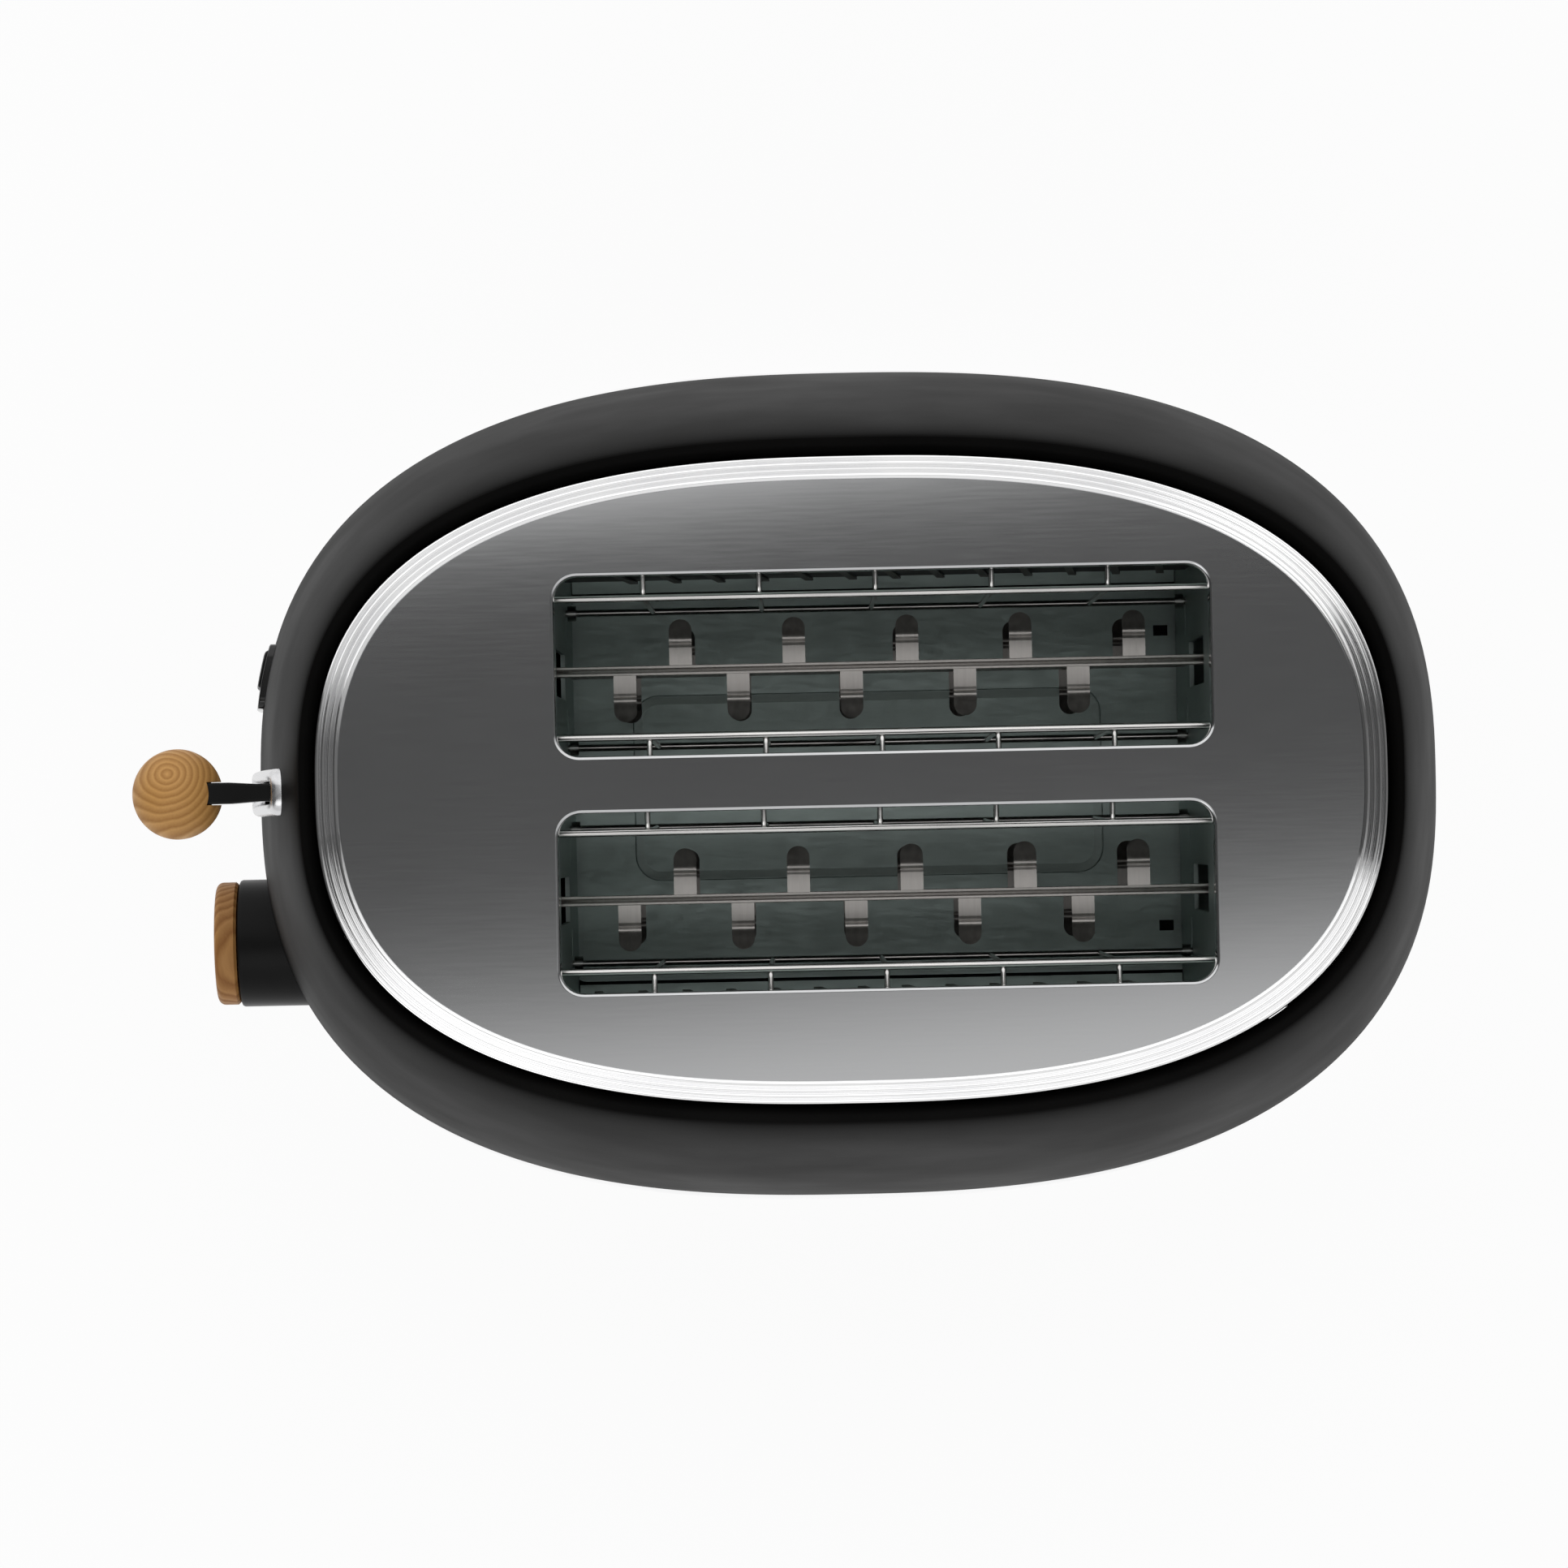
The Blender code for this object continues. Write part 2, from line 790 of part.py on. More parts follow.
def top_trim_ring():
    bead = plate_top + trim_bead_height
    ridge = plate_top + trim_ridge_height
    groove = plate_top + trim_groove_height
    inner_edge = plate_top + trim_edge_height
    skirt_low = plate_low - trim_skirt_depth
    inset_shares = [
        (0.0, skirt_low), (0.0, bead - trim_bead_side), (0.22, bead), (0.40, groove),
        (0.46, groove), (0.50, ridge), (0.60, ridge), (0.66, groove), (0.84, groove),
        (1.0, inner_edge), (1.0, plate_top + seat_gap),
    ]
    rings = [
        oval_ring(trim_half_length - share * trim_width, trim_half_width - share * trim_width, height)
        for share, height in inset_shares
    ]
    for height in (plate_top + seat_gap, skirt_low):
        rings.append(oval_ring(trim_half_length - trim_skirt, trim_half_width - trim_skirt, height))
    mesh = bmesh.new()
    add_loft(mesh, rings, closed=True)
    finish("top_trim_ring", mesh, chrome, toaster)


# Toasting chamber

def end_plate(name, inner, outer):
    """Upright steel end of the chamber, with slots for the lifts and the guide rods."""
    leg_inner = end_plate_half_width - end_plate_leg
    foot = base_floor_top + seat_gap
    outline = [
        (-end_plate_half_width, foot), (-leg_inner, foot), (-leg_inner, end_plate_low),
        (leg_inner, end_plate_low), (leg_inner, foot), (end_plate_half_width, foot),
        (end_plate_half_width, chamber_top), (-end_plate_half_width, chamber_top),
    ]
    low, high = sorted((inner, outer))
    mesh = bmesh.new()
    add_prism(mesh, outline, low, high, "X")
    plate = finish(name, mesh, chamber_steel, toaster)

    cuts = bmesh.new()
    rod_room = rod_radius + run_gap
    for side in (-1, 1):
        middle = side * slot_side
        lift_low = lift_top - lift_web_height - lever_travel - arm_end_gap
        add_prism(
            cuts,
            rectangle(
                (middle - lift_slot_width / 2, lift_low),
                (middle + lift_slot_width / 2, lift_top + arm_end_gap),
            ),
            low - overrun, high + overrun, "X",
        )
        for turned in (-1, 1):
            ends = (
                middle + turned * (guide_offset - guide_travel - rod_room),
                middle + turned * (guide_offset + rod_room),
            )
            for height in (guide_top, guide_bottom):
                add_prism(
                    cuts,
                    rectangle((min(ends), height - rod_room), (max(ends), height + rod_room)),
                    low - overrun, high + overrun, "X",
                )
    combine(plate, helper(f"{name}_cuts", cuts, toaster), "DIFFERENCE")
    return plate


def end_plates():
    front = end_plate("front_end_plate", chamber_front, front_face)
    end_plate("rear_end_plate", chamber_rear, rear_face)
    flanges = bmesh.new()
    rod_y = rod_side
    for low in (flange_bottom, flange_top - flange_thickness):
        add_box(
            flanges, (front_face - flange_reach, -flange_half_width, low),
            (front_face + end_plate_thickness / 2, flange_half_width, low + flange_thickness),
        )
    combine(front, helper("rod_flanges", flanges, toaster), "UNION")
    bores = bmesh.new()
    add_prism(
        bores, circle((guide_rod_x, rod_y), guide_rod_radius + seat_gap, guide_rod_sides),
        flange_bottom - overrun, flange_top + overrun,
    )
    combine(front, helper("rod_bores", bores, toaster), "DIFFERENCE")


def reflectors():
    ends = (chamber_front + seat_gap, chamber_rear - seat_gap)
    for name, side in (("left", 1), ("right", -1)):
        inner = side * reflector_y
        sheet = side * (reflector_y + reflector_thickness)
        flange = side * (reflector_y - reflector_flange)
        foot = side * (tray_half_width + reflector_foot_gap)
        outline = [
            (sheet, reflector_foot_height), (sheet, chamber_top), (flange, chamber_top),
            (flange, chamber_top - reflector_thickness), (inner, chamber_top - reflector_thickness),
            (inner, reflector_foot_height + reflector_thickness),
            (foot, reflector_foot_height + reflector_thickness), (foot, reflector_foot_height),
        ]
        mesh = bmesh.new()
        add_prism(mesh, outline, *ends, "X")
        finish(f"{name}_reflector", mesh, chamber_steel, toaster)


# Heaters

def ribbon_corners(middle):
    """Corner points of a ribbon wound round a board, and the side on which each corner lies."""
    reach = board_thickness / 2 + seat_gap + ribbon_thickness / 2
    top = heater_board_low + heater_board_height + seat_gap + ribbon_thickness / 2
    low = heater_board_low - seat_gap - ribbon_thickness / 2
    start = chamber_front + ribbon_margin
    pitch = (chamber_rear - chamber_front - 2 * ribbon_margin) / ribbon_turns
    corners = []
    for turn in range(ribbon_turns):
        x = start + turn * pitch
        corners.append((x, middle + reach, low, 1, -1))
        corners.append((x + pitch / 2, middle + reach, top, 1, 1))
        corners.append((x + pitch / 2, middle - reach, top, -1, 1))
        corners.append((x + pitch, middle - reach, low, -1, -1))
    return corners


def heater(name, middle):
    mesh = bmesh.new()
    add_box(
        mesh,
        (chamber_front + seat_gap, middle - board_thickness / 2, heater_board_low),
        (chamber_rear - seat_gap, middle + board_thickness / 2, heater_board_low + heater_board_height),
    )
    finish(f"heater_board_{name}", mesh, mica, toaster)

    half_width = ribbon_width / 2
    half = ribbon_thickness / 2
    corners = ribbon_corners(middle)
    rings = []
    for x, y, z, side_y, side_z in corners:
        inner = (y - side_y * half, z - side_z * half)
        outer = (y + side_y * half, z + side_z * half)
        rings.append([
            Vector((x - half_width, *inner)), Vector((x + half_width, *inner)),
            Vector((x + half_width, *outer)), Vector((x - half_width, *outer)),
        ])
    mesh = bmesh.new()
    add_loft(mesh, rings)
    finish(f"heater_ribbon_{name}", mesh, ribbon_alloy, toaster)
    return least_gap([corner[:3] for corner in corners], ribbon_width, 4)


def least_gap(points, thickness, skipped):
    """Least clear distance between stretches of a path that are not neighbours."""
    vectors = [Vector(point) for point in points]
    nearest = min(
        (first - second).length
        for index, first in enumerate(vectors)
        for second in vectors[index + skipped:]
    )
    return nearest - thickness


# Bread guides

def bread_guide(name, slot, turned, wire_phase):
    """Cage of upright wires welded to a top and a bottom rod, hooked outward at the top."""
    axis = empty(f"{name}_slide", toaster, (slot_shift, slot * slot_side, guide_top))
    y = slot * slot_side + turned * guide_offset
    ends = (front_face - guide_end, rear_face + guide_end)
    rods = bmesh.new()
    for height in (guide_top, guide_bottom):
        add_tube(rods, [(ends[0], y, height), (ends[1], y, height)], rod_radius, rod_sides)
    cage = finish(name, rods, polished_steel, axis)
    wires = bmesh.new()
    for index in range(guide_wire_count):
        x = guide_wire_shift + wire_phase + (index - (guide_wire_count - 1) / 2) * guide_wire_pitch
        path = [
            (x, y + turned * guide_hook, guide_top),
            (x, y + turned * guide_bend, guide_top),
            (x, y + turned * guide_bend * corner_share, guide_top - guide_bend * corner_share),
            (x, y, guide_top - guide_bend),
            (x, y, guide_bottom),
        ]
        add_tube(wires, path, wire_radius, wire_sides)
    combine(cage, helper(f"{name}_wires", wires, axis), "UNION")


# Where a quarter bend drawn with one middle point passes, as a share of its radius
corner_share = 1 - math.sqrt(0.5)
wire_phase_left = -0.0004
wire_phase_right = 0.0004


def bread_guides():
    for slot_name, slot in (("left", 1), ("right", -1)):
        for place, turned in (("outer", slot), ("inner", -slot)):
            phase = wire_phase_left if turned > 0 else wire_phase_right
            bread_guide(f"guide_{slot_name}_{place}", slot, turned, phase)


# Bread lifts

def bread_lift(name, slot):
    """Folded strip with bent tabs, alternately to its left and its right."""
    middle = slot * slot_side
    low = lift_top - lift_web_height
    half = lift_width / 2
    inner = half - lift_sheet
    outline = [
        (middle - half, low), (middle + half, low), (middle + half, lift_top),
        (middle + inner, lift_top), (middle + inner, lift_top - lift_groove),
        (middle - inner, lift_top - lift_groove), (middle - inner, lift_top),
        (middle - half, lift_top),
    ]
    mesh = bmesh.new()
    add_prism(mesh, outline, cross_plate_front - seat_gap, rear_face + lift_tail, "X")
    lift = finish(name, mesh, chamber_steel, lever_slide)
    tabs = bmesh.new()
    for index in range(tab_count):
        for side, stagger in ((1, tab_stagger / 2), (-1, -tab_stagger / 2)):
            x = tab_shift + stagger + (index - (tab_count - 1) / 2) * tab_pitch
            rows = [
                (inner + tab_root, tab_width / 2, 0.0),
                (tab_crease, tab_width / 2, 0.0),
                (tab_reach - tab_tip, tab_width / 2, tab_drop * (tab_reach - tab_tip - tab_crease) / tab_reach),
                (tab_reach, tab_width / 2 - tab_tip, tab_drop),
            ]
            rings = []
            for reach, half_width, drop in rows:
                y = middle + side * reach
                top = lift_top - drop - tab_sink
                rings.append([
                    Vector((x - half_width, y, top)), Vector((x + half_width, y, top)),
                    Vector((x + half_width, y, top - tab_sheet)),
                    Vector((x - half_width, y, top - tab_sheet)),
                ])
            add_loft(tabs, rings)
    combine(lift, helper(f"{name}_tabs", tabs, lever_slide), "UNION")


# Lever and carriage

lever_slide = empty("lever_slide", toaster, (guide_rod_x, rod_side, lever_height))


def lever_arm():
    rear = spine_front - seat_gap
    tip = -ball_reach + ball_socket
    head = -ball_reach + ball_radius + arm_head_step
    outline = [
        (rear, -arm_thickness / 2), (rear, arm_thickness / 2),
        (head + arm_head_length, arm_thickness / 2), (head, arm_head_thickness / 2),
        (tip, arm_head_thickness / 2), (tip, -arm_head_thickness / 2),
        (head, -arm_head_thickness / 2), (head + arm_head_length, -arm_thickness / 2),
    ]
    mesh = bmesh.new()
    add_prism(mesh, outline, arm_low, arm_top)
    finish("lever_arm", mesh, black_plastic, lever_slide)


def lever_ball():
    profile = []
    for ring in range(ball_rings + 1):
        angle = math.pi * ring / ball_rings
        profile.append((ball_radius * math.sin(angle), -ball_radius * math.cos(angle)))
    profile[0] = (0, -ball_radius)
    profile[-1] = (0, ball_radius)
    mesh = bmesh.new()
    add_turned(mesh, profile, ball_segments)
    ball = finish("lever_ball", mesh, oak, lever_slide, (-ball_reach, 0, lever_height), facing_front)
    socket = bmesh.new()
    half_width = arm_head_thickness / 2 + seat_gap
    add_box(
        socket, (-ball_reach + ball_socket - seat_gap, -half_width, arm_low - seat_gap),
        (-ball_reach + ball_radius + overrun, half_width, arm_top + seat_gap),
    )
    combine(ball, helper("ball_socket", socket, lever_slide), "DIFFERENCE")


def lever_carriage():
    """Bent sheet that joins both lifts to the arm and slides on the guide rod."""
    mesh = bmesh.new()
    add_prism(
        mesh,
        rectangle(
            (-carriage_half_width, carriage_low),
            (carriage_half_width, carriage_low + carriage_height),
        ),
        cross_plate_front, cross_plate_rear, "X",
    )
    carriage = finish("lever_carriage", mesh, chamber_steel, lever_slide)

    half_spine = spine_thickness / 2
    spine = bmesh.new()
    add_prism(
        spine,
        [
            (cross_plate_front + carriage_sheet / 2, carriage_low + carriage_sheet),
            (cross_plate_front + carriage_sheet / 2, carriage_low + carriage_height - carriage_sheet),
            (guide_rod_x + bush_wall, arm_top), (spine_front, arm_top), (spine_front, arm_low),
        ],
        -half_spine, half_spine, "Y",
    )
    combine(carriage, helper("carriage_spine", spine, lever_slide), "UNION")

    bush = bmesh.new()
    bush_low = carriage_low - bush_drop
    outer = guide_rod_radius + run_gap + bush_wall
    add_prism(
        bush, circle((guide_rod_x, rod_side), outer, guide_rod_sides),
        bush_low, bush_low + bush_height,
    )
    combine(carriage, helper("carriage_bush", bush, lever_slide), "UNION")
    bridge = bmesh.new()
    add_box(
        bridge, (guide_rod_x - bush_wall, 0, carriage_low + carriage_height),
        (guide_rod_x + bush_wall, rod_side, arm_low),
    )
    combine(carriage, helper("carriage_bridge", bridge, lever_slide), "UNION")

    ears = bmesh.new()
    rear = cross_plate_front + carriage_sheet / 2
    for low_y in (-ear_outer, ear_inner):
        add_box(
            ears, (cross_plate_front - ear_reach, low_y, ear_low),
            (rear, low_y + ear_outer - ear_inner, ear_low + carriage_sheet),
        )
    add_box(
        ears, (guide_rod_x - spring_radius, -rod_side - spring_radius, ear_low),
        (rear, -rod_side + spring_radius, ear_low + carriage_sheet),
    )
    combine(carriage, helper("carriage_ears", ears, lever_slide), "UNION")

    cuts = bmesh.new()
    add_prism(
        cuts, circle((guide_rod_x, rod_side), guide_rod_radius + run_gap, guide_rod_sides),
        bush_low - overrun, bush_low + bush_height + overrun,
    )
    notch_half_width = lift_width / 2 + seat_gap
    for side in (-1, 1):
        middle = side * slot_side
        add_prism(
            cuts,
            rectangle(
                (middle - notch_half_width, lift_top - lift_web_height - seat_gap),
                (middle + notch_half_width, carriage_low + carriage_height + overrun),
            ),
            cross_plate_front - overrun, cross_plate_rear + overrun, "X",
        )
    combine(carriage, helper("carriage_cuts", cuts, lever_slide), "DIFFERENCE")


def guide_rod():
    mesh = bmesh.new()
    add_turned(mesh, [
        (0, flange_bottom - rod_tail), (guide_rod_radius, flange_bottom - rod_tail),
        (guide_rod_radius, flange_top + rod_tail), (0, flange_top + rod_tail),
    ], guide_rod_sides)
    finish("guide_rod", mesh, polished_steel, toaster, (guide_rod_x, rod_side, 0))


def return_spring():
    """Extension spring between the carriage's middle ear and the upper flange."""
    low = ear_low + carriage_sheet + seat_gap
    high = flange_top - flange_thickness - seat_gap
    straight = spring_wire
    radius = spring_radius - spring_wire / 2
    count = spring_turns * spring_turn_points
    climb = (high - low - 2 * straight) / count
    coil = []
    for step in range(count + 1):
        angle = 2 * math.pi * step / spring_turn_points
        coil.append((radius * math.cos(angle), radius * math.sin(angle), low + straight + step * climb))
    path = [(*coil[0][:2], low), *coil, (*coil[-1][:2], high)]
    curve = bpy.data.curves.new("return_spring", "CURVE")
    curve.dimensions = "3D"
    curve.bevel_depth = spring_wire / 2
    curve.bevel_resolution = 1
    curve.use_fill_caps = True
    spline = curve.splines.new("POLY")
    spline.points.add(len(path) - 1)
    for point, place in zip(spline.points, path):
        point.co = (*place, 1.0)
    curve.materials.append(polished_steel)
    spring = bpy.data.objects.new("return_spring", curve)
    bpy.context.scene.collection.objects.link(spring)
    spring.parent = toaster
    spring.location = (guide_rod_x, -rod_side, 0)
    return least_gap(coil, spring_wire, spring_turn_points // 2)


# Electromagnet, armature, switch and circuit board

magnet_x = cross_plate_front - ear_reach + armature_length / 2
magnet_y = -(ear_inner + ear_outer) / 2
armature_top = ear_low - seat_gap
armature_low = armature_top - armature_thickness
magnet_top = armature_low - lever_travel - seat_gap


def magnet():
    mesh = bmesh.new()
    add_box(
        mesh, (magnet_x - armature_length / 2, magnet_y - armature_width / 2, armature_low),
        (magnet_x + armature_length / 2, magnet_y + armature_width / 2, armature_top),
    )
    finish("armature", mesh, chamber_steel, lever_slide)

    half = armature_width / 2
    low = magnet_top - core_height
    window = low + core_yoke
    outline = [
        (magnet_y - half, low), (magnet_y + half, low), (magnet_y + half, magnet_top),
        (magnet_y + half - core_limb, magnet_top), (magnet_y + half - core_limb, window),
        (magnet_y - half + core_limb, window), (magnet_y - half + core_limb, magnet_top),
        (magnet_y - half, magnet_top),
    ]
    mesh = bmesh.new()
    add_prism(mesh, outline, magnet_x - core_depth / 2, magnet_x + core_depth / 2, "X")
    finish("magnet_core", mesh, chamber_steel, toaster)

    coil_low = window + coil_clearance
    limb_y = magnet_y + half - core_limb / 2
    mesh = bmesh.new()
    reach = core_limb / 2 + coil_clearance + coil_wall
    coil_front = board_rear_x + seat_gap
    coil_rear = magnet_x + core_depth / 2 + coil_clearance + coil_wall
    add_box(mesh, (coil_front, limb_y - reach, coil_low), (coil_rear, limb_y + reach, coil_low + coil_height))
    coil = finish("magnet_coil", mesh, copper, toaster)
    bore = bmesh.new()
    add_box(
        bore,
        (
            magnet_x - core_depth / 2 - coil_clearance,
            limb_y - core_limb / 2 - coil_clearance, coil_low - overrun,
        ),
        (
            magnet_x + core_depth / 2 + coil_clearance,
            limb_y + core_limb / 2 + coil_clearance, coil_low + coil_height + overrun,
        ),
    )
    combine(coil, helper("coil_bore", bore, toaster), "DIFFERENCE")


def power_switch():
    top = ear_low - lever_travel - seat_gap
    middle = (ear_inner + ear_outer) / 2
    rear = board_rear_x + seat_gap + switch_depth
    mesh = bmesh.new()
    add_box(
        mesh, (board_rear_x + seat_gap, middle - switch_width / 2, top - switch_height),
        (rear, middle + switch_width / 2, top),
    )
    finish("power_switch", mesh, black_plastic, toaster)


def button_middles():
    first = bezel_low + button_border + button_height / 2
    return [first + index * button_pitch for index in range(3)]


def circuit_board():
    low = base_floor_top + seat_gap
    mesh = bmesh.new()
    add_box(
        mesh, (-board_front_x, -circuit_right, low),
        (board_rear_x, circuit_left, low + circuit_height),
    )
    board = finish("circuit_board", mesh, board_green, toaster)
    switches = bmesh.new()
    for height in button_middles():
        add_box(
            switches,
            (-board_front_x - tact_depth, button_side - tact_size / 2, height - tact_size / 2),
            (-board_front_x + circuit_thickness / 2, button_side + tact_size / 2, height + tact_size / 2),
        )
    combine(board, helper("tact_switches", switches, toaster), "UNION")
    plungers = bmesh.new()
    for height in button_middles():
        add_prism(
            plungers, circle((button_side, height), tact_plunger_radius, guide_rod_sides // 2),
            -board_front_x - tact_depth - tact_plunger, -board_front_x - tact_depth / 2, "X",
        )
    combine(board, helper("tact_plungers", plungers, toaster), "UNION")


# Browning knob

knob_slide = empty("knob_axis", toaster, (0, -knob_side, knob_height))


def knob():
    along = knob_front - knob_back
    bore_end = knob_bore_depth
    bore = knob_shaft_radius + seat_gap
    mesh = bmesh.new()
    add_turned(mesh, [
        (0, bore_end), (bore, bore_end), (bore, 0), (knob_hub_radius, 0),
        (knob_hub_radius, along - knob_face), (knob_radius - knob_wall, along - knob_face),
        (knob_radius - knob_wall, 0), (knob_radius, 0), (knob_radius, along), (0, along),
    ], round_sides)
    finish(
        "knob_barrel", mesh, black_plastic, knob_slide,
        (-knob_back, -knob_side, knob_height), facing_front,
    )

    cap_front = seat_gap + cap_thickness
    mesh = bmesh.new()
    add_turned(mesh, [
        (0, seat_gap), (cap_radius, seat_gap), (cap_radius, cap_front - cap_round),
        (cap_radius - cap_round / 3, cap_front - cap_round / 3),
        (cap_radius - cap_round, cap_front), (0, cap_front),
    ], round_sides)
    finish(
        "knob_cap", mesh, oak, knob_slide, (-knob_front, -knob_side, knob_height), facing_front,
    )

    pot_front = board_front_x + seat_gap + pot_depth
    shaft_start = pot_front + pot_neck + seat_gap
    shaft_end = knob_back + bore_end - seat_gap
    mesh = bmesh.new()
    add_turned(mesh, [
        (0, 0), (knob_shaft_radius, 0), (knob_shaft_radius, shaft_end - shaft_start),
        (0, shaft_end - shaft_start),
    ], small_round_sides)
    finish(
        "knob_shaft", mesh, polished_steel, knob_slide,
        (-shaft_start, -knob_side, knob_height), facing_front,
    )

    mesh = bmesh.new()
    add_turned(mesh, [
        (0, 0), (pot_radius, 0), (pot_radius, pot_depth), (pot_neck_radius, pot_depth),
        (pot_neck_radius, pot_depth + pot_neck), (0, pot_depth + pot_neck),
    ], small_round_sides)
    finish(
        "potentiometer", mesh, satin_silver, toaster,
        (-board_front_x - seat_gap, -knob_side, knob_height), facing_front,
    )


# Trim that follows the shell's surface: a slice of its skin inside an outline

def skin_piece(name, inner, outer, low, high, outline, finish_material, parent):
    """Solid between two distances from the shell, kept where an outline pushed along X meets it."""
    levels = [height for height in shell_heights(shoulder_rings) if low < height < high]
    levels = [low - overrun, *levels, high + overrun]
    rings = skin_rings(outer, levels) + list(reversed(skin_rings(inner, levels)))
    mesh = bmesh.new()
    add_loft(mesh, rings, closed=True)
    piece = finish(name, mesh, finish_material, parent)
    column = bmesh.new()
    add_prism(column, outline, -belly_half_length - 2 * overrun, -crest_half_length / 2, "X")
    combine(piece, helper(f"{name}_outline", column, parent), "INTERSECT")
    return piece


def lever_escutcheon():
    low = slot_gate_low - escutcheon_border
    high = slot_gate_top + escutcheon_border
    width = 2 * (gate_half_width + escutcheon_border)
    outline = rounded_rectangle((0, (low + high) / 2), (width, high - low), width / 2 - seat_gap, 5)
    ring = skin_piece(
        "lever_escutcheon", seat_gap, escutcheon_proud, low, high, outline, satin_silver, toaster
    )
    slot = bmesh.new()
    add_prism(
        slot,
        rectangle((-gate_half_width, slot_gate_low), (gate_half_width, slot_gate_top)),
        -belly_half_length - 2 * overrun, -crest_half_length / 2, "X",
    )
    combine(ring, helper("escutcheon_slot", slot, toaster), "DIFFERENCE")


def button_outline(height, grown=0.0):
    return rounded_rectangle(
        (button_side, height), (button_width + 2 * grown, button_height + 2 * grown),
        button_corner + grown, 2,
    )


def button_panel():
    high = bezel_low + bezel_height
    outline = rounded_rectangle(
        (bezel_side, (bezel_low + high) / 2), (bezel_width, bezel_height), bezel_corner, 3
    )
    bezel = skin_piece(
        "button_bezel", bezel_proud - bezel_thickness, bezel_proud, bezel_low, high, outline,
        black_plastic, toaster,
    )
    windows = bmesh.new()
    for height in button_middles():
        add_prism(
            windows, button_outline(height, button_gap), -belly_half_length - 2 * overrun,
            -crest_half_length / 2, "X",
        )
    combine(bezel, helper("button_windows", windows, toaster), "DIFFERENCE")

    stem_front = -board_front_x - tact_depth - tact_plunger - button_travel - button_play
    for name, height in zip(("bottom", "middle", "top"), button_middles()):
        slide = empty(f"button_{name}_slide", toaster, (stem_front, button_side, height))
        piece = skin_piece(
            f"button_{name}", -button_depth, button_proud, height - button_height / 2,
            height + button_height / 2, button_outline(height), black_plastic, slide,
        )
        stem = bmesh.new()
        add_prism(
            stem, circle((button_side, height), stem_radius, guide_rod_sides // 2),
            -belly_half_length + button_depth, stem_front, "X",
        )
        combine(piece, helper(f"button_{name}_stem", stem, slide), "UNION")


# Crumb tray

tray_slide = empty("tray_slide", toaster, (slot_shift, 0, tray_low))


def crumb_tray():
    length = tray_rear + tray_front
    middle = ((tray_rear - tray_front) / 2, 0)
    width = 2 * tray_half_width
    mesh = bmesh.new()
    add_prism(mesh, rounded_rectangle(middle, (length, width), tray_corner), tray_low, tray_top)
    tray = finish("crumb_tray", mesh, chamber_steel, tray_slide)
    pocket = bmesh.new()
    add_prism(
        pocket,
        rounded_rectangle(
            middle, (length - 2 * tray_sheet, width - 2 * tray_sheet), tray_corner - tray_sheet
        ),
        tray_floor_top, tray_top + overrun,
    )
    combine(tray, helper("tray_pocket", pocket, tray_slide), "DIFFERENCE")
    rim = bmesh.new()
    add_prism(
        rim, rounded_rectangle((0, 0), (emboss_length, emboss_width), emboss_corner),
        tray_floor_top - tray_sheet / 2, tray_floor_top + emboss_height,
    )
    combine(tray, helper("tray_emboss", rim, tray_slide), "UNION")
    dish = bmesh.new()
    add_prism(
        dish,
        rounded_rectangle(
            (0, 0), (emboss_length - 2 * emboss_rim, emboss_width - 2 * emboss_rim),
            emboss_corner - emboss_rim,
        ),
        tray_floor_top, tray_floor_top + emboss_height + overrun,
    )
    combine(tray, helper("tray_dish", dish, tray_slide), "DIFFERENCE")


def tray_handle():
    """Slice of the base band's own profile that closes its opening, with a block behind it."""
    mesh = bmesh.new()
    add_loft(mesh, band_rings(), closed=True)
    handle = finish("tray_handle", mesh, chrome, tray_slide)
    low = base_floor_top + seat_gap
    window = bmesh.new()
    add_box(
        window, (0, -tray_half_width, low), (band_half_length + overrun, tray_half_width, band_top + overrun),
    )
    combine(handle, helper("handle_window", window, tray_slide), "INTERSECT")
    block = bmesh.new()
    add_box(
        block, (tray_rear + seat_gap, -handle_half_width, low),
        (shell_foot_half_length - shell_wall / 2, handle_half_width, low + handle_height),
    )
    combine(handle, helper("handle_block", block, tray_slide), "UNION")


outer_shell()
base_band()
base_plate()
feet()
cord_gland()
top_plate()
top_trim_ring()
end_plates()
reflectors()
ribbon_gaps = [
    heater("left", outer_board_y), heater("centre", 0), heater("right", -outer_board_y),
]
bread_guides()
bread_lift("bread_lift_left", 1)
bread_lift("bread_lift_right", -1)
lever_arm()
lever_ball()
lever_carriage()
guide_rod()
spring_gap = return_spring()
magnet()
power_switch()
circuit_board()
knob()
lever_escutcheon()
button_panel()
crumb_tray()
tray_handle()

print(f"least gap between ribbon turns {min(ribbon_gaps) * 1000:.2f} mm")
print(f"least gap between spring turns {spring_gap * 1000:.2f} mm")
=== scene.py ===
import json
import math

import bmesh
import bpy
from mathutils import Matrix, Vector


